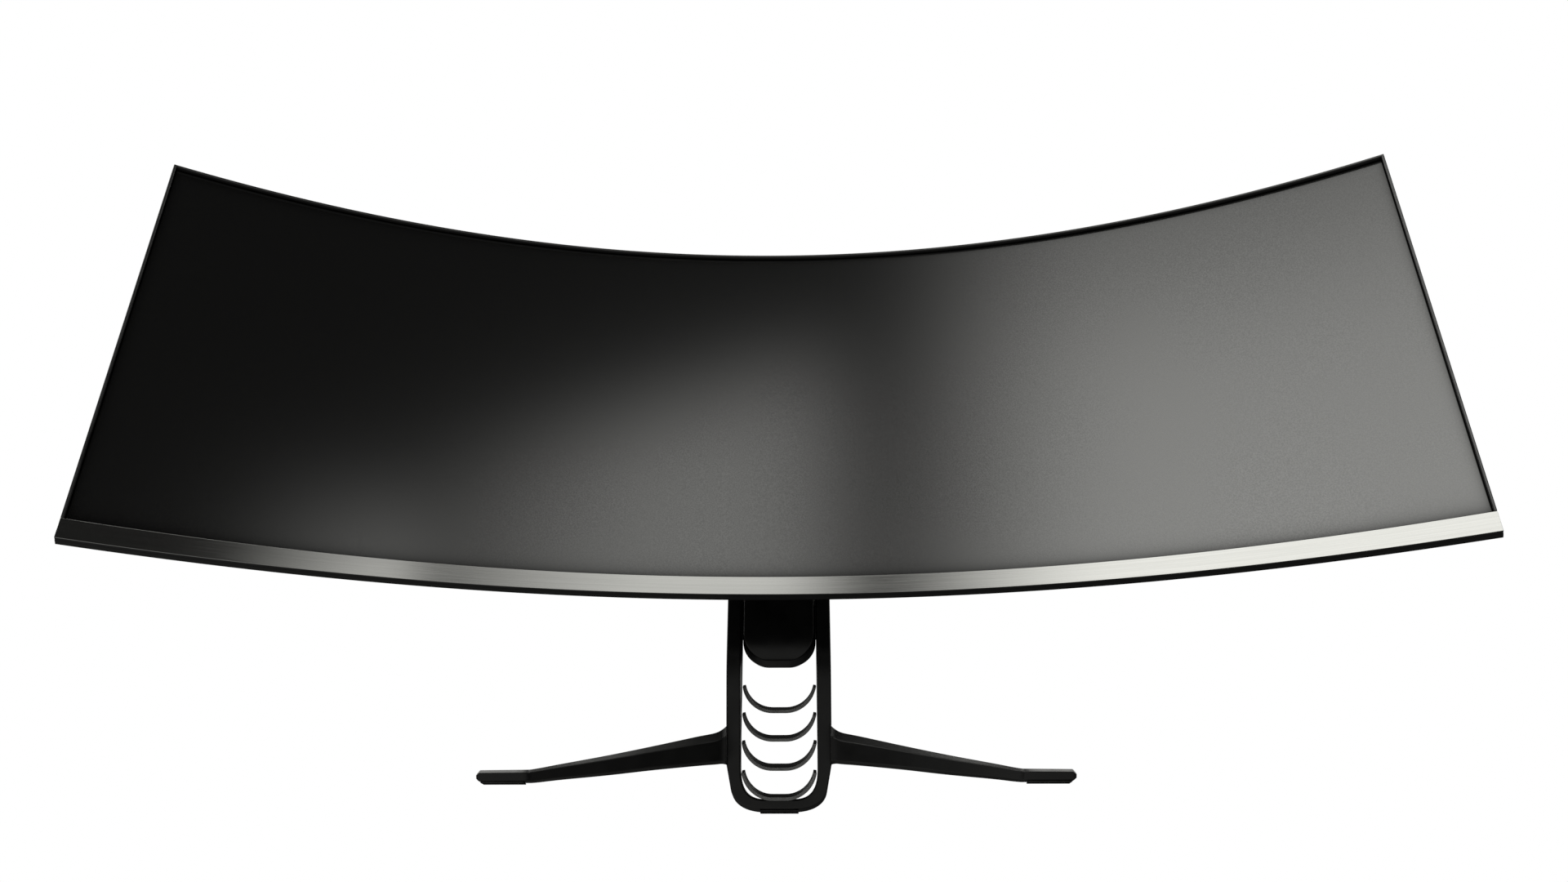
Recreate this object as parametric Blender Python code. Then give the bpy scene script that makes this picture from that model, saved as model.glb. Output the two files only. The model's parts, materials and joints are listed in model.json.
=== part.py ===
"""Curved ultrawide computer monitor on a height, swivel and tilt stand.

Metres, +Z up. The screen faces -Y and +X is to its right as the viewer sees it.
The origin is on the desk, at the centre of the rear foot pad.
Four rigid groups move: the carriage lifts along Z, the swivel knuckle turns about Z,
the head tilts about X, and each button slides along Y.
"""

import math

import bmesh
import bpy
from mathutils import Matrix, Vector

# ---------------------------------------------------------------- head
HEAD_BOTTOM = 0.1718
HEAD_HEIGHT = 0.380
SCREEN_FRONT_Y = -0.160
CURVE_RADIUS = 1.149
HALF_ANGLE = math.radians(29.95)
EDGE_THICKNESS = 0.0184
CHIN_HEIGHT = 0.0166
RIM_WIDTH = 0.0022
FRONT_DEPTH = 0.0070
SCREEN_RECESS = 0.0053
COVER_WALL = 0.0023
BULGE_DEPTH = 0.060
BULGE_HALF = 0.190
BULGE_FOOT = 0.260
GAP = 0.0003
ARC_STEPS = 32

# ---------------------------------------------------------------- joints
TILT_Y = SCREEN_FRONT_Y + 0.080
TILT_Z = HEAD_BOTTOM + 0.190
EAR_RADIUS = 0.0088
BUTTON_RADIUS = 0.0045
BUTTON_LENGTH = 0.0080
EAR_X = 0.024
EAR_WIDTH = 0.005
SHAFT_RADIUS = 0.0040
SHAFT_BORE = SHAFT_RADIUS + GAP
SHAFT_LENGTH = 0.060
LUG_HALF = 0.0175
LUG_RADIUS = 0.0094
WASHER_X = 0.0195
WASHER_RADIUS = 0.0088
WASHER_THICKNESS = 0.0034
POST_RADIUS = 0.0055
POST_BORE = POST_RADIUS + GAP
KNUCKLE_RADIUS = 0.0100
ARM_RADIUS = 0.0085
ARM_LOW = -0.052
ARM_HIGH = -0.0316
YOKE_SCREW_X = 0.034
YOKE_SCREW_Z = 0.022
SCREW_HEAD_RADIUS = 0.0038
SCREW_SHANK_RADIUS = 0.0020
SCREW_BORE = SCREW_SHANK_RADIUS + GAP
BUTTON_Z = HEAD_BOTTOM + 0.0785
BUTTON_X = (0.135, 0.149, 0.163, 0.177)

# ---------------------------------------------------------------- column
COLUMN_HALF = 0.0518
OPENING_HALF = 0.0380
COLUMN_TOP = 0.400
COLUMN_FRONT_Y = -0.060
COLUMN_BACK_Y = -0.010
LEAN = 0.374
LEAN_START_FRONT = 0.1325
LEAN_START_BACK = 0.0630
LEAN_BLEND = 0.018
FOOT_GAP_Z = 0.0013
PAD_TOP = 0.0010
CORNER_X = 0.012
TAPER_TOP_Z = 0.0425
TAPER = 0.19
OUTER_CORNER_Z = 0.0200
OUTER_CORNER_REACH = 0.0325
OUTER_CORNER_POWER = 2.4
INNER_CORNER_Z = 0.0425
INNER_CORNER_DROP = 0.0322
INNER_CORNER_POWER = 2.8
SILL_RISE = 0.0045
SILL_FADE_Z = 0.05
COLUMN_BACK_BOTTOM = 0.1412
COLUMN_BACK_NEAR_Y = -0.0140
COLUMN_BACK_FAR_Y = -0.0105
CAP_HEIGHT = 0.0060
REAR_PAD_HALF_X = 0.019
REAR_PAD_HALF_Y = 0.011

# ---------------------------------------------------------------- carriage
TONGUE_HALF = 0.0353
TONGUE_FRONT_Y = -0.062
TONGUE_BACK_Y = -0.024
TONGUE_BOTTOM = 0.1375
TONGUE_TOP = 0.385
TONGUE_FLAT = 0.010
TONGUE_CORNER = 0.026

# ---------------------------------------------------------------- ribs and legs
RIB_COUNT = 4
RIB_TOP_Z = 0.0920
RIB_PITCH = 0.028
RIB_FRONT_Y = -0.022
RIB_DEPTH = 0.020
RIB_HALF = 0.0370
RIB_FLAT = 0.0065
RIB_THICKNESS = 0.0030
RIB_SLOPE = math.tan(math.radians(20.5))
RIB_SWEEP = math.radians(80)
RIB_WIDENING = 0.019
LEG_ROOT_X = COLUMN_HALF + GAP
FOOT_Y = -0.190
FOOT_TIP_X = 0.2475
FOOT_PAD_X = (0.2075, 0.2430)
FOOT_PAD_Y = (FOOT_Y - 0.0048, FOOT_Y + 0.0060)


def clear_scene():
    for item in list(bpy.data.objects):
        bpy.data.objects.remove(item, do_unlink=True)


def material(name, colour, roughness, metallic=0.0):
    found = bpy.data.materials.get(name)
    if found:
        return found
    made = bpy.data.materials.new(name)
    made.use_nodes = True
    shader = made.node_tree.nodes["Principled BSDF"]
    shader.inputs["Base Color"].default_value = (*colour, 1.0)
    shader.inputs["Roughness"].default_value = roughness
    shader.inputs["Metallic"].default_value = metallic
    return made


FINISHES = {
    "stand_black": ((0.012, 0.012, 0.013), 0.45, 0.0),
    "shell_black": ((0.015, 0.015, 0.016), 0.5, 0.0),
    "rib_black": ((0.02, 0.02, 0.021), 0.35, 0.0),
    "chin_silver": ((0.72, 0.72, 0.69), 0.3, 1.0),
    "rim_black": ((0.02, 0.02, 0.021), 0.35, 0.0),
    "screen_glass": ((0.01, 0.01, 0.011), 0.3, 0.0),
    "diffuser": ((0.85, 0.85, 0.83), 0.6, 0.0),
    "sheet_steel": ((0.55, 0.56, 0.57), 0.35, 1.0),
    "spring_steel": ((0.42, 0.43, 0.45), 0.3, 1.0),
    "board_green": ((0.02, 0.14, 0.06), 0.5, 0.0),
    "nylon": ((0.75, 0.74, 0.7), 0.5, 0.0),
    "ferrite": ((0.25, 0.2, 0.06), 0.5, 0.0),
    "rubber": ((0.03, 0.03, 0.03), 0.85, 0.0),
}


def finish(slot):
    colour, roughness, metallic = FINISHES[slot]
    return material(slot, colour, roughness, metallic)


def to_object(name, mesh_builder, slot, smooth=True):
    """Turn a bmesh into a closed, outward-facing object."""
    bmesh.ops.recalc_face_normals(mesh_builder, faces=mesh_builder.faces)
    mesh = bpy.data.meshes.new(name)
    mesh_builder.to_mesh(mesh)
    mesh_builder.free()
    if smooth:
        mesh.shade_smooth()
        mesh.set_sharp_from_angle(angle=math.radians(30))
    made = bpy.data.objects.new(name, mesh)
    bpy.context.scene.collection.objects.link(made)
    if slot:
        made.data.materials.append(finish(slot))
    return made


def spread(low, high, count):
    return [low + (high - low) * step / count for step in range(count + 1)]


def grid_solid(name, columns, rows, front, back, slot, skip=None):
    """A closed body between two surfaces over a grid; skipped cells are holes."""
    made = bmesh.new()
    corners = {}
    kept = [(i, j) for i in range(len(columns) - 1) for j in range(len(rows) - 1)
            if not (skip and skip((columns[i] + columns[i + 1]) / 2, (rows[j] + rows[j + 1]) / 2))]

    def corner(i, j, side):
        key = (i, j, side)
        if key not in corners:
            surface = back if side else front
            corners[key] = made.verts.new(surface(columns[i], rows[j]))
        return corners[key]

    edges = {}
    for i, j in kept:
        loop = [(i, j), (i + 1, j), (i + 1, j + 1), (i, j + 1)]
        made.faces.new([corner(*point, 0) for point in loop])
        made.faces.new([corner(*point, 1) for point in reversed(loop)])
        for start, end in zip(loop, loop[1:] + loop[:1]):
            key = frozenset((start, end))
            edges.setdefault(key, []).append((start, end))
    for uses in edges.values():
        if len(uses) == 1:
            start, end = uses[0]
            made.faces.new([corner(*end, 0), corner(*start, 0), corner(*start, 1), corner(*end, 1)])
    return to_object(name, made, slot)


def block(name, low, high, slot, bevel=0.0):
    made = bmesh.new()
    size = [high[k] - low[k] for k in range(3)]
    middle = [(high[k] + low[k]) / 2 for k in range(3)]
    bmesh.ops.create_cube(made, size=1.0, matrix=Matrix.Translation(middle) @ Matrix.Diagonal((*size, 1.0)))
    item = to_object(name, made, slot, smooth=False)
    if bevel:
        rounding = item.modifiers.new("edge", "BEVEL")
        rounding.width = bevel
        rounding.segments = 1
    return item


def disc(name, centre, axis, radius, length, slot, sides=20):
    """A cylinder centred on a point, along X, Y or Z."""
    made = bmesh.new()
    turn = Vector((0, 0, 1)).rotation_difference(Vector(axis)).to_matrix().to_4x4()
    bmesh.ops.create_cone(made, cap_ends=True, segments=sides, radius1=radius, radius2=radius,
                          depth=length, matrix=Matrix.Translation(centre) @ turn)
    return to_object(name, made, slot)


def plate(name, outline, front_y, back_y, slot):
    """An outline in X and Z, extruded along Y."""
    made = bmesh.new()
    rings = [[made.verts.new((x, y, z)) for x, z in outline] for y in (front_y, back_y)]
    made.faces.new(rings[0])
    made.faces.new(list(reversed(rings[1])))
    count = len(outline)
    for k in range(count):
        after = (k + 1) % count
        made.faces.new([rings[0][k], rings[1][k], rings[1][after], rings[0][after]])
    return to_object(name, made, slot)


def hide_guide(item):
    item.hide_render = True
    item.display_type = "WIRE"


def combine(item, other, operation):
    hide_guide(other)
    boolean = item.modifiers.new(operation.lower(), "BOOLEAN")
    boolean.operation = operation
    boolean.solver = "EXACT"
    boolean.object = other


def cut(item, other):
    combine(item, other, "DIFFERENCE")


def fuse(item, other):
    combine(item, other, "UNION")


# ---------------------------------------------------------------- curved head pieces

def arc_point(angle, depth, height):
    """A point at a depth behind the curved front, and a height above the head's bottom."""
    reach = CURVE_RADIUS + depth
    return (reach * math.sin(angle),
            SCREEN_FRONT_Y - CURVE_RADIUS + reach * math.cos(angle),
            HEAD_BOTTOM + height)


def sheet_between(depth):
    return lambda angle, height: arc_point(angle, depth, height)


def curved_sheet(name, inset, bottom, top, near, far, slot):
    """A curved sheet with its sides set in from the head's ends."""
    limit = HALF_ANGLE - inset / CURVE_RADIUS
    return grid_solid(name, spread(-limit, limit, ARC_STEPS), [bottom, top],
                      sheet_between(near), sheet_between(far), slot)


def curved_ring(name, inset, width, bottom, top, near, far, slot, open_bottom=False):
    limit = HALF_ANGLE - inset / CURVE_RADIUS
    inner = limit - width / CURVE_RADIUS
    columns = [-limit] + spread(-inner, inner, ARC_STEPS) + [limit]
    rows = [bottom, top - width, top]
    low = bottom
    if not open_bottom:
        rows.insert(1, bottom + width)
        low = bottom + width

    def hole(angle, height):
        return abs(angle) < inner and low < height < top - width

    return grid_solid(name, columns, rows, sheet_between(near), sheet_between(far), slot, hole)


def build_front():
    top = HEAD_HEIGHT
    border = 0.0057
    limit = HALF_ANGLE
    curved_ring("front_rim", 0.0, RIM_WIDTH, CHIN_HEIGHT + GAP, top, 0.0, FRONT_DEPTH, "rim_black", True)
    grid_solid("chin_trim", spread(-limit, limit, ARC_STEPS), [0.0, CHIN_HEIGHT],
               sheet_between(0.0), sheet_between(0.0012), "chin_silver")
    grid_solid("bottom_rail", spread(-limit, limit, ARC_STEPS), [0.0, CHIN_HEIGHT],
               sheet_between(0.0015), sheet_between(FRONT_DEPTH), "shell_black")
    curved_sheet("screen_panel", RIM_WIDTH + GAP, CHIN_HEIGHT + GAP, top - RIM_WIDTH - GAP,
                 SCREEN_RECESS, FRONT_DEPTH - 0.0002, "screen_glass")
    curved_ring("panel_frame", 0.0026, 0.0028, 0.0026, top - 0.0026, 0.0073, 0.0125, "shell_black")
    curved_sheet("optical_films", border, border, top - border, 0.0073, 0.0083, "diffuser")
    curved_sheet("light_guide", border, 0.0098, top - border, 0.0086, 0.0106, "diffuser")
    curved_sheet("led_bar", border, border, 0.0095, 0.0086, 0.0106, "board_green")
    curved_sheet("backlight_tray", border, border, top - border, 0.0109, 0.0119, "sheet_steel")


def ramp(value, start, end):
    """0 before start and 1 after end, with eased ends."""
    share = min(1.0, max(0.0, (value - start) / (end - start)))
    return share * share * (3 - 2 * share)


def cover_depth(angle, height):
    """Depth of the rear cover's outer face, with its flat bulge in the middle."""
    across = abs(CURVE_RADIUS * math.sin(angle))
    flat = (CURVE_RADIUS + BULGE_DEPTH) / math.cos(angle) - CURVE_RADIUS
    sideways = 1 - ramp(across, BULGE_HALF, BULGE_FOOT)
    upright = ramp(height, 0.030, 0.060) * (1 - ramp(height, 0.300, 0.335))
    return EDGE_THICKNESS + (flat - EDGE_THICKNESS) * sideways * upright


def cover_outer(angle, height):
    return arc_point(angle, cover_depth(angle, height), height)


def cover_inner(angle, height):
    """The wall turns forward along the cover's four edges."""
    from_end = (HALF_ANGLE - abs(angle)) * CURVE_RADIUS
    from_edge = min(from_end, height, HEAD_HEIGHT - height)
    if from_edge < 0.00215:
        return arc_point(angle, FRONT_DEPTH + GAP, height)
    return arc_point(angle, cover_depth(angle, height) - COVER_WALL, height)


COVER_HOLES = (
    ("bracket", -0.035, 0.035, 0.155, 0.225),
    ("ports", -0.155, -0.055, 0.065, 0.115),
    ("power", 0.055, 0.105, 0.065, 0.115),
    ("buttons", 0.125, 0.185, 0.065, 0.092),
)


def in_cover_hole(angle, height):
    across = (CURVE_RADIUS + BULGE_DEPTH) * math.tan(angle)
    return any(left < across < right and low < height < high
               for _, left, right, low, high in COVER_HOLES)


def build_rear_cover():
    flat = [0.035, 0.055, 0.080, 0.105, 0.125, 0.155, 0.185]
    half = [math.atan(x / (CURVE_RADIUS + BULGE_DEPTH)) for x in flat]
    half += [math.asin(x / CURVE_RADIUS) for x in (0.190, 0.205, 0.225, 0.245, 0.260)]
    edge = [HALF_ANGLE - inset / CURVE_RADIUS for inset in (0.0023, 0.0020, 0.0)]
    half += spread(half[-1], edge[0], 8)[1:] + edge[1:]
    columns = [-angle for angle in reversed(half)] + [0.0] + half
    rows = [0.0, 0.0020, 0.0023, 0.030, 0.037, 0.045, 0.053, 0.060, 0.065, 0.092, 0.115, 0.155, 0.225,
            0.300, 0.309, 0.3175, 0.326, 0.335, 0.3777, 0.3780, 0.380]
    grid_solid("rear_cover", columns, rows, cover_inner, cover_outer, "shell_black", in_cover_hole)


# ---------------------------------------------------------------- inside the head

def head_block(name, left, right, near, far, low, high, slot, bevel=0.0):
    """A block placed by depth behind the screen front and height above the head's bottom."""
    return block(name, (left, SCREEN_FRONT_Y + near, HEAD_BOTTOM + low),
                 (right, SCREEN_FRONT_Y + far, HEAD_BOTTOM + high), slot, bevel)


def build_shroud(name, left, right):
    """A five-sided recess in the rear cover, open to the rear."""
    shroud = head_block(name, left + GAP, right - GAP, 0.0245, 0.0597, 0.0653, 0.1147, "shell_black")
    cut(shroud, head_block(name + "_hollow", left + 0.0018, right - 0.0018, 0.026, 0.070,
                           0.0668, 0.1132, None))


def build_electronics():
    head_block("chassis_plate", -0.170, 0.170, 0.0145, 0.0160, 0.120, 0.290, "sheet_steel")
    bracket = head_block("mount_bracket", -0.033, 0.033, 0.0163, 0.0600, 0.157, 0.223, "sheet_steel")
    cut(bracket, head_block("bracket_hollow", -0.0305, 0.0305, 0.0188, 0.0575, 0.150, 0.230, None))
    head_block("main_board", -0.160, -0.045, 0.0200, 0.0216, 0.120, 0.230, "board_green")
    shield = head_block("shield_cover", -0.155, -0.050, 0.0219, 0.0350, 0.125, 0.225, "sheet_steel")
    cut(shield, head_block("shield_hollow", -0.154, -0.051, 0.0200, 0.0340, 0.126, 0.224, None))
    head_block("power_board", 0.045, 0.160, 0.0200, 0.0216, 0.120, 0.230, "board_green")
    head_block("transformer", 0.085, 0.125, 0.0219, 0.0500, 0.150, 0.185, "ferrite", 0.002)
    build_shroud("port_shroud", -0.155, -0.055)
    build_shroud("inlet_shroud", 0.055, 0.105)


def build_sockets():
    """Connector blocks that hang from the roofs of the two recesses, facing down."""
    ports = head_block("port_block", -0.150, -0.060, 0.0300, 0.0500, 0.0985, 0.1129, "sheet_steel")
    for index, (centre, width) in enumerate(((-0.140, 0.014), (-0.122, 0.014), (-0.103, 0.016),
                                             (-0.085, 0.013), (-0.069, 0.009))):
        cut(ports, head_block(f"port_hollow_{index}", centre - width / 2, centre + width / 2,
                              0.0370, 0.0430, 0.0900, 0.1080, None))
    inlet = head_block("power_inlet", 0.062, 0.098, 0.0290, 0.0530, 0.0950, 0.1129, "shell_black")
    cut(inlet, head_block("inlet_hollow", 0.0665, 0.0935, 0.0325, 0.0495, 0.0900, 0.1080, None))


def build_controls():
    bezel = head_block("button_bezel", 0.1254, 0.1842, 0.0577, 0.0600, 0.0653, 0.0917, "rim_black")
    middle_y = SCREEN_FRONT_Y + 0.0575
    names = ("menu_button_1", "menu_button_2", "menu_button_3", "power_button")
    for name, x in zip(names, BUTTON_X):
        centre = (x, middle_y, BUTTON_Z)
        cut(bezel, disc(name + "_hole", centre, (0, 1, 0), BUTTON_RADIUS + GAP, 0.02, None))
        button = disc(name, centre, (0, 1, 0), BUTTON_RADIUS, BUTTON_LENGTH, "rib_black")
        hold(button, axis_empty(name + "_axis", centre, AXES["head"]))
    head_block("button_board", 0.127, 0.183, 0.0490, 0.0506, 0.0670, 0.0900, "board_green")


# ---------------------------------------------------------------- tilt and swivel hinge

def hinge_block(name, left, right, near, far, low, high, slot, bevel=0.0):
    """A block placed from the tilt axis."""
    return block(name, (left, TILT_Y + near, TILT_Z + low), (right, TILT_Y + far, TILT_Z + high),
                 slot, bevel)


def build_mount():
    mount = hinge_block("mount_plate", -0.050, 0.050, -0.0197, -0.0167, -0.035, 0.035, "sheet_steel")
    yoke = hinge_block("tilt_yoke", -0.040, 0.040, -0.0164, -0.0134, -0.030, 0.030, "stand_black")
    for side in (-1, 1):
        middle = side * EAR_X
        fuse(yoke, hinge_block(f"ear_{side}", middle - EAR_WIDTH / 2, middle + EAR_WIDTH / 2,
                               -0.0150, 0.0, -EAR_RADIUS, EAR_RADIUS, None))
        fuse(yoke, disc(f"ear_end_{side}", (middle, TILT_Y, TILT_Z), (1, 0, 0), EAR_RADIUS, EAR_WIDTH, None))
    cut(yoke, disc("shaft_bore", (0, TILT_Y, TILT_Z), (1, 0, 0), SHAFT_BORE, 0.08, None))
    number = 0
    for x in (-YOKE_SCREW_X, YOKE_SCREW_X):
        for z in (-YOKE_SCREW_Z, YOKE_SCREW_Z):
            number += 1
            build_screw(f"yoke_screw_{number}", x, TILT_Z + z, (yoke, mount))


def build_screw(name, x, z, plates):
    """A pan-head screw through both plates."""
    for index, item in enumerate(plates):
        cut(item, disc(f"{name}_bore_{index}", (x, TILT_Y - 0.015, z), (0, 1, 0), SCREW_BORE, 0.03, None, 12))
    screw = disc(name, (x, TILT_Y - 0.0119, z), (0, 1, 0), SCREW_HEAD_RADIUS, 0.0024, "spring_steel", 12)
    fuse(screw, disc(name + "_shank", (x, TILT_Y - 0.0158, z), (0, 1, 0), SCREW_SHANK_RADIUS, 0.0064,
                     None, 12))


def build_knuckle():
    centre = (0, TILT_Y, TILT_Z)
    knuckle = disc("swivel_knuckle", (0, TILT_Y, TILT_Z - 0.0240), (0, 0, 1), KNUCKLE_RADIUS, 0.0140,
                   "stand_black")
    fuse(knuckle, hinge_block("lug", -LUG_HALF, LUG_HALF, -LUG_RADIUS, LUG_RADIUS, -0.0190, 0.0, None))
    fuse(knuckle, disc("lug_end", centre, (1, 0, 0), LUG_RADIUS, 2 * LUG_HALF, None, 24))
    cut(knuckle, disc("lug_bore", centre, (1, 0, 0), SHAFT_BORE, 0.06, None))
    cut(knuckle, disc("post_bore", (0, TILT_Y, TILT_Z - 0.0270), (0, 0, 1), POST_BORE, 0.0240, None))
    disc("tilt_shaft", centre, (1, 0, 0), SHAFT_RADIUS, SHAFT_LENGTH, "spring_steel")
    for side, name in ((-1, "friction_washer_left"), (1, "friction_washer_right")):
        spot = (side * WASHER_X, TILT_Y, TILT_Z)
        washer = disc(name, spot, (1, 0, 0), WASHER_RADIUS, WASHER_THICKNESS, "spring_steel")
        cut(washer, disc(name + "_bore", spot, (1, 0, 0), SHAFT_BORE, 0.02, None))


# ---------------------------------------------------------------- carriage

def rounded_tongue(half, bottom, top, flat, corner, steps=6):
    """An outline with straight sides and a rounded lower end."""
    right = []
    for k in range(steps + 1):
        turn = math.pi / 2 * k / steps
        right.append((flat + (half - flat) * math.sin(turn), bottom + corner * (1 - math.cos(turn))))
    right.append((half, top))
    return right + [(-x, z) for x, z in reversed(right)]


def build_carriage():
    outline = rounded_tongue(TONGUE_HALF, TONGUE_BOTTOM, TONGUE_TOP, TONGUE_FLAT, TONGUE_CORNER)
    carriage = plate("lift_carriage", outline, TONGUE_FRONT_Y, TONGUE_BACK_Y, "stand_black")
    fuse(carriage, hinge_block("arm", -ARM_RADIUS, ARM_RADIUS, 0.0, 0.020, ARM_LOW, ARM_HIGH, None))
    fuse(carriage, disc("arm_end", (0, TILT_Y, TILT_Z + (ARM_LOW + ARM_HIGH) / 2), (0, 0, 1), ARM_RADIUS,
                        ARM_HIGH - ARM_LOW, None))
    cut(carriage, block("spring_pocket", (-0.026, -0.048, 0.295), (0.026, -0.020, 0.355), None))
    disc("swivel_post", (0, TILT_Y, TILT_Z - 0.0235), (0, 0, 1), POST_RADIUS, 0.0150, "spring_steel")
    for side, name in ((-1, "glide_left"), (1, "glide_right")):
        near, far = sorted((side * (TONGUE_HALF + GAP), side * (TONGUE_HALF + 0.0011)))
        block(name, (near, -0.052, 0.200), (far, -0.032, 0.380), "nylon")
    drum_centre = (0, -0.0355, 0.325)
    drum = disc("lift_spring", drum_centre, (1, 0, 0), 0.0100, 0.036, "spring_steel")
    cut(drum, disc("spring_bore", drum_centre, (1, 0, 0), 0.0033, 0.05, None))
    disc("spring_axle", drum_centre, (1, 0, 0), 0.0030, 0.0514, "spring_steel")


# ---------------------------------------------------------------- column

def leaning(start, height):
    """How far the column has leaned back, eased in below the start height."""
    if height >= start + LEAN_BLEND:
        return 0.0
    if height <= start - LEAN_BLEND:
        return LEAN * (start - height)
    return LEAN * (start + LEAN_BLEND - height) ** 2 / (4 * LEAN_BLEND)


def outer_half(height):
    """Half the column's width near its lower end: a taper, then a squarish corner."""
    below = min(1.0, max(0.0, (OUTER_CORNER_Z - height) / (OUTER_CORNER_Z - FOOT_GAP_Z)))
    fall = 1 - (1 - below ** OUTER_CORNER_POWER) ** (1 / OUTER_CORNER_POWER)
    return COLUMN_HALF - TAPER * max(0.0, TAPER_TOP_Z - height) - OUTER_CORNER_REACH * fall


def column_contours():
    """Matching points along the outside and inside of the U, as (x, z) pairs."""
    heights = (COLUMN_TOP, 0.165, LEAN_START_FRONT + LEAN_BLEND, LEAN_START_FRONT + 0.006,
               LEAN_START_FRONT - 0.006, LEAN_START_FRONT - LEAN_BLEND,
               LEAN_START_BACK + LEAN_BLEND, LEAN_START_BACK)
    left = [((-COLUMN_HALF, z), (-OPENING_HALF, z)) for z in heights]
    steps = 8
    for k in range(steps + 1):
        turn = math.pi / 2 * k / steps
        across = abs(math.cos(turn)) ** (2 / INNER_CORNER_POWER)
        down = abs(math.sin(turn)) ** (2 / INNER_CORNER_POWER)
        outer_z = INNER_CORNER_Z - (INNER_CORNER_Z - FOOT_GAP_Z) * down
        inner = (-CORNER_X - (OPENING_HALF - CORNER_X) * across, INNER_CORNER_Z - INNER_CORNER_DROP * down)
        left.append(((-outer_half(outer_z), outer_z), inner))
    right = [((-outer[0], outer[1]), (-inner[0], inner[1])) for outer, inner in reversed(left)]
    return left + right


def column_face(start, base_y, sill):
    contours = column_contours()

    def face(station, side):
        x, z = contours[int(station)][int(side)]
        y = base_y + leaning(start, z)
        if side:
            z += sill * max(0.0, 1 - z / SILL_FADE_Z)
        return (x, y, z)

    return face


def build_column():
    count = len(column_contours())
    front = column_face(LEAN_START_FRONT, COLUMN_FRONT_Y, 0.0)
    back = column_face(LEAN_START_BACK, COLUMN_BACK_Y, SILL_RISE)
    grid_solid("column_frame", list(range(count)), [0, 1], front, back, "stand_black")
    outline = rounded_tongue(OPENING_HALF - GAP, COLUMN_BACK_BOTTOM, COLUMN_TOP - 0.003, TONGUE_FLAT,
                             TONGUE_CORNER)
    plate("column_back", outline, COLUMN_BACK_NEAR_Y, COLUMN_BACK_FAR_Y, "shell_black")
    block("column_top_cap", (-COLUMN_HALF, COLUMN_FRONT_Y, COLUMN_TOP + GAP),
          (COLUMN_HALF, COLUMN_BACK_Y, COLUMN_TOP + GAP + CAP_HEIGHT), "shell_black", 0.0015)
    for side, name in ((-1, "guide_strip_left"), (1, "guide_strip_right")):
        near, far = sorted((side * (OPENING_HALF - GAP), side * (OPENING_HALF - 0.0013)))
        block(name, (near, -0.055, 0.165), (far, -0.029, 0.396), "sheet_steel")
    block("spring_strip", (-0.014, -0.0215, 0.325), (0.014, -0.0210, 0.396), "spring_steel")


def rib_surface(base, thickness, widening):
    """The rib is a shallow trough: flat in the middle, swept up at both ends, rising to the rear."""
    radius = (RIB_HALF - RIB_FLAT) / math.sin(RIB_SWEEP)

    def surface(station, share):
        side = -1 if station < 0 else 1
        turn = RIB_SWEEP * max(0.0, abs(station) - 1)
        x = RIB_FLAT * min(1.0, abs(station)) + (radius - thickness) * math.sin(turn)
        z = base + radius - (radius - thickness) * math.cos(turn)
        wide = 1 + widening * min(1.0, share / 0.5)
        return (side * x * wide, RIB_FRONT_Y + RIB_DEPTH * share, z + RIB_DEPTH * share * RIB_SLOPE)

    return surface


def build_ribs():
    stations = spread(-2.0, -1.0, 7) + spread(1.0, 2.0, 7)
    for number in range(RIB_COUNT):
        base = RIB_TOP_Z - number * RIB_PITCH
        lowest = number == RIB_COUNT - 1
        shares = [0.0, 0.5, 0.75 if lowest else 1.0]
        widening = 0.0 if lowest else RIB_WIDENING
        grid_solid(f"rib_{number + 1}", stations, shares, rib_surface(base, 0.0, widening),
                   rib_surface(base, RIB_THICKNESS, widening), "rib_black")


# ---------------------------------------------------------------- legs

def leg_sections():
    """Sections from the column out to the foot: x, centre y, half depth, bottom and top heights."""
    return (
        (LEG_ROOT_X, -0.0370, 0.0150, 0.0411, 0.0752),
        (0.0552, -0.0395, 0.0135, 0.0414, 0.0714),
        (0.0620, -0.0460, 0.0130, 0.0397, 0.0668),
        (0.0780, -0.0615, 0.0130, 0.0359, 0.0605),
        (0.1150, -0.0980, 0.0128, 0.0263, 0.0452),
        (0.1500, -0.1330, 0.0118, 0.0164, 0.0312),
        (0.1840, -0.1670, 0.0105, 0.0074, 0.0184),
        (0.2010, -0.1835, 0.0095, 0.0026, 0.0121),
        (0.2090, FOOT_Y, 0.0088, FOOT_GAP_Z, 0.0105),
        (0.2445, FOOT_Y, 0.0085, FOOT_GAP_Z, 0.0102),
        (FOOT_TIP_X, FOOT_Y, 0.0040, 0.0036, 0.0074),
    )


def leg_ring(x, middle, half, bottom, top):
    """A six-sided section with a crease along its front, a third of the way down."""
    tall = top - bottom
    return [
        (x, middle - half * 0.60, bottom),
        (x, middle + half * 0.75, bottom),
        (x, middle + half, bottom + tall * 0.45),
        (x, middle + half * 0.60, top),
        (x, middle - half * 0.55, top),
        (x, middle - half, bottom + tall * 0.66),
    ]


def build_leg(name, side):
    made = bmesh.new()
    rings = []
    for section in leg_sections():
        rings.append([made.verts.new((side * x, y, z)) for x, y, z in leg_ring(*section)])
    made.faces.new(rings[0])
    made.faces.new(list(reversed(rings[-1])))
    for ring, after in zip(rings, rings[1:]):
        for k in range(len(ring)):
            following = (k + 1) % len(ring)
            made.faces.new([ring[k], after[k], after[following], ring[following]])
    to_object(name, made, "stand_black")


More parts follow.
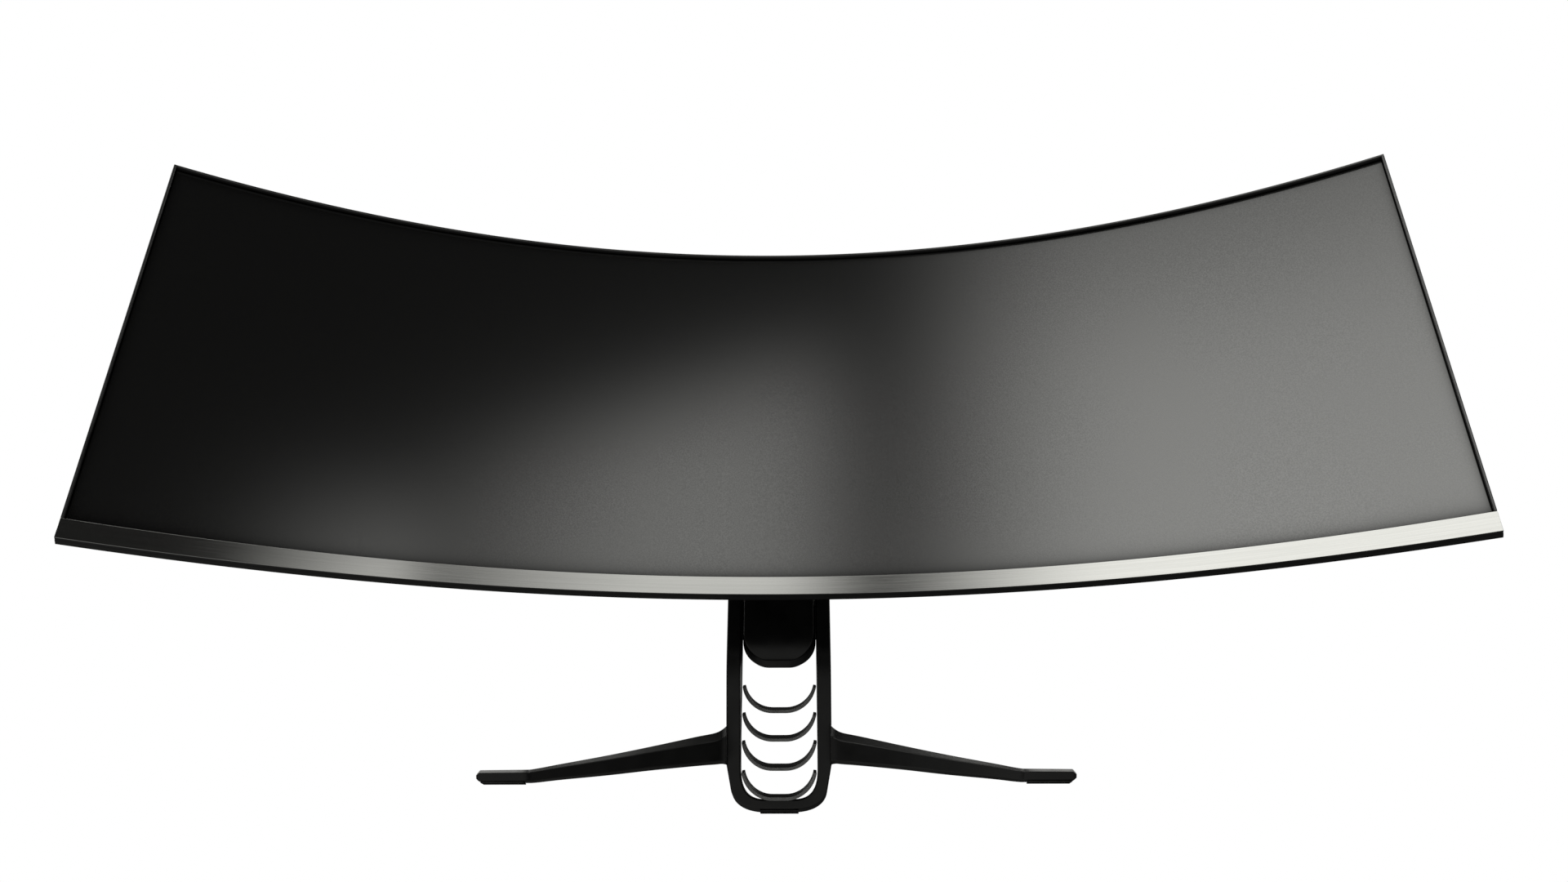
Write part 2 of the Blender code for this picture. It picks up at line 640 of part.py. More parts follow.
def build_feet():
    for side, word in ((-1, "left"), (1, "right")):
        build_leg(f"{word}_leg", side)
        near, far = sorted(side * x for x in FOOT_PAD_X)
        block(f"foot_pad_{word}", (near, FOOT_PAD_Y[0], 0.0), (far, FOOT_PAD_Y[1], PAD_TOP), "rubber")
    block("foot_pad_rear", (-REAR_PAD_HALF_X, -REAR_PAD_HALF_Y, 0.0),
          (REAR_PAD_HALF_X, REAR_PAD_HALF_Y, PAD_TOP), "rubber")


# ---------------------------------------------------------------- groups that move

AXES = {}


def axis_empty(name, location, parent=None):
    """An empty on a joint's axis; its children keep their places."""
    empty = bpy.data.objects.new(name, None)
    bpy.context.scene.collection.objects.link(empty)
    empty.location = location
    if parent:
        empty.parent = parent
        empty.location = Vector(location) - world_place(parent)
    return empty


def world_place(item):
    place = Vector(item.location)
    while item.parent:
        item = item.parent
        place += item.location
    return place


def hold(item, empty):
    """Parent a piece to its axis without moving it."""
    item.parent = empty
    item.location = -world_place(empty)


GROUPS = {
    "carriage": ("lift_carriage", "glide_left", "glide_right", "swivel_post", "lift_spring", "spring_axle"),
    "swivel": ("swivel_knuckle", "tilt_shaft", "friction_washer_left", "friction_washer_right"),
    "head": ("front_rim", "chin_trim", "bottom_rail", "screen_panel", "panel_frame", "optical_films",
             "light_guide", "led_bar", "backlight_tray", "rear_cover", "chassis_plate", "mount_bracket",
             "main_board", "shield_cover", "power_board", "transformer", "port_shroud", "inlet_shroud",
             "port_block", "power_inlet", "button_bezel", "button_board", "mount_plate", "tilt_yoke",
             "yoke_screw_1", "yoke_screw_2", "yoke_screw_3", "yoke_screw_4"),
}


def main():
    clear_scene()
    AXES["carriage"] = axis_empty("carriage_axis", (0, TONGUE_FRONT_Y, TILT_Z))
    AXES["swivel"] = axis_empty("swivel_axis", (0, TILT_Y, TILT_Z - 0.03), AXES["carriage"])
    AXES["head"] = axis_empty("head_axis", (0, TILT_Y, TILT_Z), AXES["swivel"])
    build_column()
    build_ribs()
    build_feet()
    build_carriage()
    build_knuckle()
    build_mount()
    build_front()
    build_rear_cover()
    build_electronics()
    build_sockets()
    build_controls()
    for group, names in GROUPS.items():
        for name in names:
            hold(bpy.data.objects[name], AXES[group])


main()
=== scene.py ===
"""Curved ultrawide computer monitor: the looks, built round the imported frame."""

import json
import math

import bmesh
import bpy
from mathutils import Matrix, Vector


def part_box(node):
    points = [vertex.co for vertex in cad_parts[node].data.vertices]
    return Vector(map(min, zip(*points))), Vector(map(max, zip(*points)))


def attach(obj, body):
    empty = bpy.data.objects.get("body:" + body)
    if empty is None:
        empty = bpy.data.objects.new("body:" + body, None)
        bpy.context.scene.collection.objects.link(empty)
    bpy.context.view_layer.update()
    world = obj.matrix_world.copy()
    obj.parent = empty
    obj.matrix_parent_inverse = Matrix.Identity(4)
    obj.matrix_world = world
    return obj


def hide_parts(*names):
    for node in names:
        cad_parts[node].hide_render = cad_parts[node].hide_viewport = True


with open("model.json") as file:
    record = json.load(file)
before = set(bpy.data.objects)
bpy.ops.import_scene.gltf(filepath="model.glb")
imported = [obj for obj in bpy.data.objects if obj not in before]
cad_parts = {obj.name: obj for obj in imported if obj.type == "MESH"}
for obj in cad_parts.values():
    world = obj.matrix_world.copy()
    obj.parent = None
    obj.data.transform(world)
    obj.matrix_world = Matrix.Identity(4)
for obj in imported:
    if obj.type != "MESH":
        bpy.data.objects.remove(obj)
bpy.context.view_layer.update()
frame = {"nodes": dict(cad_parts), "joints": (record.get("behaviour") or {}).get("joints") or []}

# ---- sizes from the frame
HEAD_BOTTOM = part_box("chin_trim")[0][2]
HEAD_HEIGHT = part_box("front_rim")[1][2] - HEAD_BOTTOM
COLUMN_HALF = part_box("column_frame")[1][0]
COLUMN_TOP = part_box("column_frame")[1][2]
OPENING_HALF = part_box("column_back")[1][0] + 0.0003
COLUMN_FRONT_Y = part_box("column_frame")[0][1]
COLUMN_BACK_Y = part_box("column_top_cap")[1][1]
TILT_AXIS = next(joint for joint in frame["joints"] if joint["name"] == "tilt")["pos_m"]
TILT_Y, TILT_Z = TILT_AXIS[1], TILT_AXIS[2]
RIB_FRONT_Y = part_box("rib_1")[0][1]

# ---- the design's own sizes
SCREEN_FRONT_Y = -0.160
CURVE_RADIUS = 1.149
HALF_ANGLE = math.radians(29.95)
EDGE_THICKNESS = 0.0184
CHIN_HEIGHT = 0.0166
RIM_WIDTH = 0.0022
FRONT_DEPTH = 0.0070
SCREEN_RECESS = 0.0053
COVER_WALL = 0.0023
BULGE_DEPTH = 0.060
BULGE_HALF = 0.190
BULGE_FOOT = 0.260
GAP = 0.0003
ARC_STEPS = 120
EDGE_ROUND = 0.0008
EDGE_INSETS = (0.0030, 0.0023, 0.0020, 0.0015, 0.0010, 0.0006, 0.0003, 0.0001, 0.0)


# ---- mesh helpers

def spread(low, high, count):
    return [low + (high - low) * step / count for step in range(count + 1)]


def to_piece(name, made, angle=35):
    """Turn a bmesh into a smooth-shaded object with its faces pointing out."""
    bmesh.ops.recalc_face_normals(made, faces=made.faces)
    mesh = bpy.data.meshes.new(name)
    made.to_mesh(mesh)
    made.free()
    mesh.shade_smooth()
    mesh.set_sharp_from_angle(angle=math.radians(angle))
    piece = bpy.data.objects.new(name, mesh)
    bpy.context.scene.collection.objects.link(piece)
    return piece


def soften(piece, width, segments=2, angle=30):
    """Round the hard edges."""
    bevel = piece.modifiers.new("soft_edges", "BEVEL")
    bevel.width = width
    bevel.segments = segments
    bevel.limit_method = "ANGLE"
    bevel.angle_limit = math.radians(angle)
    bevel.harden_normals = False
    return piece


def grid_piece(name, columns, rows, front, back, skip=None):
    """A closed body between two surfaces over a grid; skipped cells are holes."""
    made = bmesh.new()
    uv = made.loops.layers.uv.new("along")
    corners = {}

    def corner(i, j, side):
        key = (i, j, side)
        if key not in corners:
            surface = back if side else front
            corners[key] = made.verts.new(surface(columns[i], rows[j]))
        return corners[key]

    def add_face(points):
        face = made.faces.new([corner(*point) for point in points])
        for loop, point in zip(face.loops, points):
            loop[uv].uv = (columns[point[0]], rows[point[1]])

    edges = {}
    for i in range(len(columns) - 1):
        for j in range(len(rows) - 1):
            if skip and skip((columns[i] + columns[i + 1]) / 2, (rows[j] + rows[j + 1]) / 2):
                continue
            loop = [(i, j), (i + 1, j), (i + 1, j + 1), (i, j + 1)]
            add_face([(*point, 0) for point in loop])
            add_face([(*point, 1) for point in reversed(loop)])
            for start, end in zip(loop, loop[1:] + loop[:1]):
                edges.setdefault(frozenset((start, end)), []).append((start, end))
    for uses in edges.values():
        if len(uses) == 1:
            start, end = uses[0]
            add_face([(*end, 0), (*start, 0), (*start, 1), (*end, 1)])
    return to_piece(name, made)


def block(name, low, high, bevel=0.0004, segments=2):
    made = bmesh.new()
    size = [high[k] - low[k] for k in range(3)]
    middle = [(high[k] + low[k]) / 2 for k in range(3)]
    bmesh.ops.create_cube(made, size=1.0,
                          matrix=Matrix.Translation(middle) @ Matrix.Diagonal((*size, 1.0)))
    if bevel:
        bmesh.ops.bevel(made, geom=list(made.edges), offset=bevel, segments=segments, profile=0.5,
                        affect="EDGES")
    return to_piece(name, made)


def frame_block(name, node, bevel=0.0004, segments=2):
    """A softened block that fills a node's box."""
    low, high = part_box(node)
    return block(name, low, high, bevel, segments)


def turned(name, centre, axis, profile, sides=48):
    """A solid of revolution; the profile is (radius, distance along the axis) from end to end."""
    made = bmesh.new()
    turn = Vector((0, 0, 1)).rotation_difference(Vector(axis)).to_matrix().to_4x4()
    place = Matrix.Translation(centre) @ turn
    closed = profile[0] == profile[-1]
    rings = []
    for radius, along in profile[:-1] if closed else profile:
        turns = [2 * math.pi * k / sides for k in range(sides)]
        rings.append([made.verts.new(place
                                     @ Vector((radius * math.cos(a), radius * math.sin(a), along)))
                      for a in turns])
    for ring, after in zip(rings, rings[1:] + (rings[:1] if closed else [])):
        for k in range(sides):
            following = (k + 1) % sides
            made.faces.new([ring[k], ring[following], after[following], after[k]])
    if not closed:
        made.faces.new(list(reversed(rings[0])))
        made.faces.new(rings[-1])
    return to_piece(name, made)


def rod_profile(radius, length, edge=0.0004):
    """A plain rod with chamfered ends, centred along its axis."""
    half = length / 2
    return [(radius - edge, -half), (radius, -half + edge), (radius, half - edge),
            (radius - edge, half)]


def tube_profile(radius, bore, length, edge=0.0003):
    half = length / 2
    return [(bore, -half), (radius - edge, -half), (radius, -half + edge), (radius, half - edge),
            (radius - edge, half), (bore, half), (bore, -half)]


def remove_cutter(item):
    """Take a finished guide out of the scene."""
    bpy.data.objects.remove(item, do_unlink=True)


def carve(piece, *cutters, operation="DIFFERENCE"):
    """Cut or join pieces for good, so the guides don't stay in the scene."""
    for cutter in cutters:
        boolean = piece.modifiers.new("carve", "BOOLEAN")
        boolean.operation = operation
        boolean.solver = "EXACT"
        boolean.object = cutter
    bpy.context.view_layer.update()
    depsgraph = bpy.context.evaluated_depsgraph_get()
    mesh = bpy.data.meshes.new_from_object(piece.evaluated_get(depsgraph))
    piece.modifiers.clear()
    piece.data = mesh
    mesh.shade_smooth()
    mesh.set_sharp_from_angle(angle=math.radians(35))
    for cutter in cutters:
        remove_cutter(cutter)
    return piece


def settle(piece, body, look, slot, *nodes):
    """Give a piece its material and its body, and hide the CAD nodes that it stands for; the slot
    is not used.
    """
    piece.data.materials.clear()
    piece.data.materials.append(LOOKS[look])
    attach(piece, body)
    if nodes:
        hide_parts(*nodes)
    return piece


# ---- material helpers

class Graph:
    """Short calls for building a material's node tree."""

    def __init__(self, name):
        self.material = bpy.data.materials.new(name)
        self.material.use_nodes = True
        self.tree = self.material.node_tree
        self.shader = self.tree.nodes["Principled BSDF"]
        self.place = self.tree.nodes.new("ShaderNodeTexCoord").outputs["Object"]

    def add(self, kind, **inputs):
        node = self.tree.nodes.new(kind)
        for key, value in inputs.items():
            self.feed(node.inputs[key.replace("_", " ")], value)
        return node

    def feed(self, socket, value):
        if isinstance(value, bpy.types.NodeSocket):
            self.tree.links.new(value, socket)
        else:
            socket.default_value = value

    def stretch(self, scale, source=None):
        node = self.tree.nodes.new("ShaderNodeMapping")
        node.inputs["Scale"].default_value = scale
        self.tree.links.new(source or self.place, node.inputs["Vector"])
        return node.outputs["Vector"]

    def noise(self, scale, detail=2.0, roughness=0.5, vector=None):
        return self.add("ShaderNodeTexNoise", Vector=vector or self.place, Scale=scale,
                        Detail=detail,
                        Roughness=roughness).outputs["Fac"]

    def cells(self, scale, vector=None, feature="F1"):
        node = self.tree.nodes.new("ShaderNodeTexVoronoi")
        node.feature = feature
        self.feed(node.inputs["Vector"], vector or self.place)
        self.feed(node.inputs["Scale"], scale)
        return node.outputs["Distance"]

    def band(self, value, low, high, out_low=0.0, out_high=1.0):
        node = self.tree.nodes.new("ShaderNodeMapRange")
        node.interpolation_type = "SMOOTHSTEP"
        for key, item in (("Value", value), ("From Min", low), ("From Max", high),
                          ("To Min", out_low), ("To Max", out_high)):
            self.feed(node.inputs[key], item)
        return node.outputs["Result"]

    def math(self, operation, first, second=0.0):
        node = self.tree.nodes.new("ShaderNodeMath")
        node.operation = operation
        self.feed(node.inputs[0], first)
        self.feed(node.inputs[1], second)
        return node.outputs[0]

    def blend(self, share, first, second):
        node = self.tree.nodes.new("ShaderNodeMix")
        node.data_type = "RGBA"
        self.feed(node.inputs["Factor"], share)
        self.feed(node.inputs[6], first)
        self.feed(node.inputs[7], second)
        return node.outputs[2]

    def bump(self, height, strength, distance, before=None):
        node = self.add("ShaderNodeBump", Height=height, Strength=strength, Distance=distance)
        if before:
            self.tree.links.new(before, node.inputs["Normal"])
        return node.outputs["Normal"]

    def finish(self, colour=None, roughness=None, normal=None, **fixed):
        if colour is not None:
            self.feed(self.shader.inputs["Base Color"], colour)
        if roughness is not None:
            self.feed(self.shader.inputs["Roughness"], roughness)
        if normal is not None:
            self.feed(self.shader.inputs["Normal"], normal)
        for key, value in fixed.items():
            self.shader.inputs[key.replace("_", " ")].default_value = value
        return self.material


def grey(value, warm=0.0):
    return (value * (1 + warm), value, value * (1 - warm), 1.0)


# ---- materials

def powder_coat():
    """Black powder coat: orange peel, faint mottling and a few duller patches."""
    g = Graph("powder_coat_black")
    mottle = g.noise(35.0, 4.0)
    peel = g.noise(1100.0, 2.0)
    grit = g.noise(4200.0, 1.0)
    colour = g.blend(g.band(mottle, 0.35, 0.65), grey(0.006), grey(0.010))
    rough = g.band(g.noise(60.0, 3.0), 0.3, 0.7, 0.29, 0.38)
    normal = g.bump(grit, 0.10, 0.00008, g.bump(peel, 0.22, 0.00025))
    return g.finish(colour, rough, normal)


def spark_plastic():
    """Moulded black plastic with a fine spark-eroded grain."""
    g = Graph("spark_plastic_black")
    grain = g.cells(1500.0)
    soft = g.noise(700.0, 3.0)
    mottle = g.noise(14.0, 4.0)
    colour = g.blend(g.band(mottle, 0.3, 0.7), grey(0.0105), grey(0.0125))
    rough = g.band(g.noise(25.0, 3.0), 0.3, 0.7, 0.47, 0.52)
    normal = g.bump(soft, 0.25, 0.00015, g.bump(grain, 0.35, 0.00020))
    return g.finish(colour, rough, normal)


def satin_plastic():
    """Smoother black plastic for the rim and the buttons."""
    g = Graph("satin_plastic_black")
    flow = g.noise(9.0, 3.0, vector=g.stretch((1.0, 1.0, 6.0)))
    grain = g.noise(2600.0, 2.0)
    colour = g.blend(g.band(flow, 0.35, 0.65), grey(0.016), grey(0.022))
    rough = g.band(g.noise(40.0, 3.0), 0.3, 0.7, 0.30, 0.40)
    return g.finish(colour, rough, g.bump(grain, 0.12, 0.00010), IOR=2.1)


def rib_plastic():
    """Semi-gloss black for the cable ribs, mottled, with a painted highlight making the front lip
    paler.
    """
    g = Graph("rib_plastic_black")
    mottle_and_highlight_noise = g.noise(120.0, 4.0, vector=g.stretch((1.0, 3.0, 1.0)))
    parts = g.tree.nodes.new("ShaderNodeSeparateXYZ")
    g.feed(parts.inputs[0], g.place)
    # Painted highlight: a pale band along each rib's front lip, broken up by the mottle noise.
    lip = g.band(parts.outputs[1], RIB_FRONT_Y + 0.0002, RIB_FRONT_Y + 0.0012, 1.0, 0.0)
    colour = g.blend(g.band(mottle_and_highlight_noise, 0.4, 0.7), grey(0.004), grey(0.007))
    colour = g.blend(g.math("MULTIPLY", lip, g.band(mottle_and_highlight_noise, 0.2, 0.6, 0.7, 1.0)), colour,
                     grey(0.30))
    rough = g.band(mottle_and_highlight_noise, 0.3, 0.7, 0.16, 0.24)
    return g.finish(colour, rough, g.bump(g.noise(900.0, 2.0), 0.04, 0.00004), IOR=1.4)


def brushed_silver():
    """Aluminium brushed along its length: long fine scratches and a clear lacquer."""
    g = Graph("brushed_aluminium")
    fine = g.noise(1.0, 3.0, 0.6, g.stretch((22.0, 22.0, 5200.0)))
    broad = g.noise(1.0, 2.0, 0.5, g.stretch((4.0, 4.0, 900.0)))
    streak = g.math("ADD", g.math("MULTIPLY", fine, 0.65), g.math("MULTIPLY", broad, 0.35))
    colour = g.blend(g.band(streak, 0.38, 0.62), (0.56, 0.56, 0.545, 1), (0.64, 0.64, 0.625, 1))
    rough = g.band(fine, 0.3, 0.7, 0.08, 0.13)
    normal = g.bump(streak, 0.05, 0.00003)
    tangent = g.tree.nodes.new("ShaderNodeTangent")
    tangent.direction_type = "UV_MAP"
    tangent.uv_map = "along"
    g.feed(g.shader.inputs["Tangent"], tangent.outputs["Tangent"])
    return g.finish(colour, rough, normal, Metallic=1.0, Anisotropic=0.35,
                    Anisotropic_Rotation=0.25)


def screen_surface():
    """The switched-off panel: a dark mirror under an anti-glare film, with painted shade darkening
    it towards the rim and the chin.
    """
    g = Graph("panel_surface")
    place = g.tree.nodes.new("ShaderNodeUVMap")
    place.uv_map = "along"
    parts = g.tree.nodes.new("ShaderNodeSeparateXYZ")
    g.feed(parts.inputs[0], place.outputs[0])
    angle, height = parts.outputs[0], parts.outputs[1]
    from_end = g.math("MULTIPLY", g.math("SUBTRACT", HALF_ANGLE, g.math("ABSOLUTE", angle)),
                      CURVE_RADIUS)
    from_top = g.math("SUBTRACT", HEAD_HEIGHT, height)
    from_rim = g.math("SUBTRACT", g.math("MINIMUM", from_end, from_top), RIM_WIDTH)
    from_chin = g.math("SUBTRACT", height, CHIN_HEIGHT)
    # Painted shade: the mirror fades towards near black close to the rim and just above the chin.
    rim_painted_shade = g.math("MULTIPLY", g.math("EXPONENT", g.math("MULTIPLY", from_rim, -330.0)), 0.72)
    chin_painted_shade = g.math("MULTIPLY", g.math("EXPONENT", g.math("MULTIPLY", from_chin, -165.0)), 0.88)
    # clear is the share of the panel outside the painted shade.
    clear = g.math("MULTIPLY", g.math("SUBTRACT", 1.0, rim_painted_shade),
                   g.math("SUBTRACT", 1.0, chin_painted_shade))
    sparkle = g.noise(850.0, 2.0)
    haze = g.noise(5.0, 3.0)
    film = g.blend(g.band(sparkle, 0.3, 0.7), grey(0.164), grey(0.212))
    film = g.blend(g.band(haze, 0.3, 0.7), film, grey(0.190))
    colour = g.blend(clear, grey(0.004), film)
    colour = g.blend(g.band(from_rim, 0.0009, 0.0015), grey(0.002), colour)
    rough = g.band(g.noise(900.0, 2.0), 0.3, 0.7, 0.130, 0.150)
    return g.finish(colour, rough, g.bump(sparkle, 0.02, 0.00003), Metallic=0.96)


def sheet_steel():
    """Zinc-plated sheet with a faint spangle."""
    g = Graph("zinc_sheet_steel")
    spangle = g.cells(160.0)
    rolled = g.noise(1.0, 2.0, vector=g.stretch((40.0, 900.0, 900.0)))
    colour = g.blend(g.band(spangle, 0.1, 0.6), (0.44, 0.45, 0.46, 1), (0.56, 0.57, 0.58, 1))
    rough = g.band(rolled, 0.3, 0.7, 0.30, 0.44)
    return g.finish(colour, rough, g.bump(rolled, 0.06, 0.00008), Metallic=1.0)


def ground_steel():
    """Ground and oiled steel for shafts, springs and screws."""
    g = Graph("ground_steel")
    marks = g.noise(1.0, 3.0, vector=g.stretch((3000.0, 300.0, 300.0)))
    colour = g.blend(g.band(marks, 0.3, 0.7), (0.30, 0.305, 0.315, 1), (0.42, 0.425, 0.44, 1))
    rough = g.band(marks, 0.3, 0.7, 0.22, 0.36)
    return g.finish(colour, rough, g.bump(marks, 0.08, 0.00006), Metallic=1.0)


def oiled_steel():
    """Phosphated steel rails, dark with oil."""
    g = Graph("oiled_steel")
    drawn = g.noise(1.0, 3.0, vector=g.stretch((900.0, 900.0, 40.0)))
    colour = g.blend(g.band(drawn, 0.3, 0.7), grey(0.035), grey(0.060))
    rough = g.band(drawn, 0.3, 0.7, 0.34, 0.48)
    return g.finish(colour, rough, g.bump(drawn, 0.08, 0.00006), Metallic=0.8)


def circuit_board():
    """Green solder mask over raised copper tracks."""
    g = Graph("circuit_board_green")
    tracks = g.cells(240.0, g.stretch((1.0, 0.2, 2.4)), "DISTANCE_TO_EDGE")
    lines = g.band(tracks, 0.02, 0.06)
    colour = g.blend(lines, (0.03, 0.17, 0.06, 1), (0.010, 0.075, 0.030, 1))
    return g.finish(colour, g.band(g.noise(300.0), 0.3, 0.7, 0.28, 0.40),
                    g.bump(lines, 0.2, 0.00005))


def nylon():
    g = Graph("natural_nylon")
    worn = g.noise(1.0, 3.0, vector=g.stretch((400.0, 400.0, 20.0)))
    colour = g.blend(g.band(worn, 0.3, 0.7), (0.62, 0.61, 0.56, 1), (0.72, 0.71, 0.66, 1))
    return g.finish(colour, g.band(worn, 0.3, 0.7, 0.38, 0.5), g.bump(worn, 0.1, 0.00006))


def transformer_tape():
    g = Graph("transformer_tape")
    turns = g.noise(1.0, 2.0, vector=g.stretch((20.0, 20.0, 1400.0)))
    colour = g.blend(g.band(turns, 0.35, 0.65), (0.42, 0.31, 0.05, 1), (0.58, 0.45, 0.09, 1))
    return g.finish(colour, g.band(turns, 0.3, 0.7, 0.3, 0.45), g.bump(turns, 0.2, 0.00012))


def black_rubber():
    g = Graph("foot_rubber")
    grain = g.cells(1800.0)
    colour = g.blend(g.band(g.noise(90.0, 4.0), 0.3, 0.7), grey(0.016), grey(0.030))
    return g.finish(colour, g.band(g.noise(200.0), 0.3, 0.7, 0.75, 0.9),
                    g.bump(grain, 0.3, 0.00020))


def white_film():
    """The diffusing films: translucent white with a fine dot pattern."""
    g = Graph("white_film")
    dots = g.band(g.cells(620.0), 0.18, 0.30)
    colour = g.blend(dots, (0.86, 0.86, 0.84, 1), (0.78, 0.78, 0.76, 1))
    return g.finish(colour, g.band(dots, 0.0, 1.0, 0.45, 0.6), g.bump(dots, 0.1, 0.00005))


def contact_gold():
    g = Graph("contact_gold")
    marks = g.noise(900.0, 3.0)
    colour = g.blend(g.band(marks, 0.3, 0.7), (0.72, 0.50, 0.17, 1), (0.82, 0.60, 0.24, 1))
    return g.finish(colour, g.band(marks, 0.3, 0.7, 0.22, 0.34), g.bump(marks, 0.05, 0.00004),
                    Metallic=1.0)


LOOKS = {
    "powder": powder_coat(),
    "spark": spark_plastic(),
    "satin": satin_plastic(),
    "rib": rib_plastic(),
    "silver": brushed_silver(),
    "screen": screen_surface(),
    "sheet": sheet_steel(),
    "steel": ground_steel(),
    "oiled": oiled_steel(),
    "board": circuit_board(),
    "nylon": nylon(),
    "tape": transformer_tape(),
    "rubber": black_rubber(),
    "film": white_film(),
    "gold": contact_gold(),
}


# ---- head: front

def arc_point(angle, depth, height):
    reach = CURVE_RADIUS + depth
    return (reach * math.sin(angle),
            SCREEN_FRONT_Y - CURVE_RADIUS + reach * math.cos(angle),
            HEAD_BOTTOM + height)


def sheet_at(depth):
    return lambda angle, height: arc_point(angle, depth, height)


def build_front():
    top = HEAD_HEIGHT
    limit = HALF_ANGLE
    inner = limit - RIM_WIDTH / CURVE_RADIUS
    columns = [-limit] + spread(-inner, inner, ARC_STEPS) + [limit]

    def hole(angle, height):
        return abs(angle) < inner and height < top - RIM_WIDTH

    rim = grid_piece("front_rim_shell", columns, [CHIN_HEIGHT + GAP, top - RIM_WIDTH, top],
                     sheet_at(0.0), sheet_at(FRONT_DEPTH), hole)
    settle(soften(rim, 0.0005), "head", "satin", "rim_black", "front_rim")

    chin = grid_piece("chin_strip", spread(-limit, limit, ARC_STEPS), [0.0, CHIN_HEIGHT],
                      sheet_at(0.0), sheet_at(0.0012))
    settle(soften(chin, 0.00015), "head", "silver", "chin_silver", "chin_trim")

    rail = grid_piece("bottom_rail_shell", spread(-limit, limit, ARC_STEPS), [0.0, CHIN_HEIGHT],
                      sheet_at(0.0015), sheet_at(FRONT_DEPTH))
    settle(soften(rail, 0.0004), "head", "spark", "shell_black", "bottom_rail")

    side = inner - GAP / CURVE_RADIUS
    panel = grid_piece("panel_glass", spread(-side, side, ARC_STEPS),
                       [CHIN_HEIGHT + GAP, top - RIM_WIDTH - GAP],
                       sheet_at(SCREEN_RECESS), sheet_at(FRONT_DEPTH - 0.0002))
    settle(soften(panel, 0.0002), "head", "screen", "screen_glass", "screen_panel")


# ---- head: rear cover

def ramp(value, start, end):
    """A smooth step from 0 to 1."""
    share = min(1.0, max(0.0, (value - start) / (end - start)))
    return share * share * (3 - 2 * share)


def edge_rounding(distance, radius):
    """How far a rounded edge has fallen away at a distance in from the edge."""
    if distance >= radius:
        return 0.0
    return radius - math.sqrt(max(0.0, radius ** 2 - (radius - distance) ** 2))


BULGE_RISE = (0.030, 0.060)
BULGE_FALL = (0.300, 0.335)


def cover_depth(angle, height):
    across = abs(CURVE_RADIUS * math.sin(angle))
    flat = (CURVE_RADIUS + BULGE_DEPTH) / math.cos(angle) - CURVE_RADIUS
    sideways = 1 - ramp(across, BULGE_HALF, BULGE_FOOT)
    upright = ramp(height, *BULGE_RISE) * (1 - ramp(height, *BULGE_FALL))
    return EDGE_THICKNESS + (flat - EDGE_THICKNESS) * sideways * upright


def border_distance(angle, height):
    from_end = (HALF_ANGLE - abs(angle)) * CURVE_RADIUS
    return min(from_end, height, HEAD_HEIGHT - height)


GROOVE_PITCH = 0.0125
GROOVE_HALF = 0.0014
GROOVE_DEPTH = 0.0009
GROOVE_COUNT = 26
GROOVE_START = 0.0335
GROOVE_FADE_IN = (0.285, 0.305)
GROOVE_FADE_OUT = (0.565, 0.580)


def groove_depth(angle, height):
    """Shallow level grooves across the two wings, fading out at both ends."""
    across = CURVE_RADIUS * abs(angle)
    share = ramp(across, *GROOVE_FADE_IN) * (1 - ramp(across, *GROOVE_FADE_OUT))
    beside = (height - GROOVE_START + GROOVE_PITCH / 2) % GROOVE_PITCH - GROOVE_PITCH / 2
    inside = GROOVE_START - GROOVE_HALF <= height <= GROOVE_START + GROOVE_PITCH * (GROOVE_COUNT
            - 0.5)
    return GROOVE_DEPTH * share * max(0.0, 1 - abs(beside) / GROOVE_HALF) if inside else 0.0


def cover_outer(angle, height):
    fall = edge_rounding(border_distance(angle, height), EDGE_ROUND) + groove_depth(angle, height)
    return arc_point(angle, cover_depth(angle, height) - fall, height)


COVER_LIP = 0.00215


def cover_inner(angle, height):
    """The inside of the shell, which runs out to the front along a thin lip."""
    if border_distance(angle, height) < COVER_LIP:
        return arc_point(angle, FRONT_DEPTH + GAP, height)
    return arc_point(angle, cover_depth(angle, height) - COVER_WALL, height)


# Left, right, low and high edges of the holes for the hinge, ports, inlet and buttons.
COVER_HOLES = (
    (-0.035, 0.035, 0.155, 0.225),
    (-0.155, -0.055, 0.065, 0.115),
    (0.055, 0.105, 0.065, 0.115),
    (0.125, 0.185, 0.065, 0.092),
)
HOLE_EDGES = (0.035, 0.055, 0.105, 0.125, 0.155, 0.185)
VENT_HALF = 0.150
VENT_PITCH = 0.0075
VENT_SLOT = 0.0035
VENT_ROWS = ((0.306, 0.329), (0.036, 0.053))


def cover_angle(x):
    """The angle of a line on the bulge's flat rear face."""
    return math.atan(x / (CURVE_RADIUS + BULGE_DEPTH))


def in_vent(x, height):
    if abs(x) > VENT_HALF:
        return False
    beside = (x + VENT_HALF) % VENT_PITCH
    return beside < VENT_SLOT and any(low < height < high for low, high in VENT_ROWS)


def cover_skip(angle, height):
    x = (CURVE_RADIUS + BULGE_DEPTH) * math.tan(angle)
    if any(left < x < right and low < height < high for left, right, low, high in COVER_HOLES):
        return True
    return in_vent(x, height)


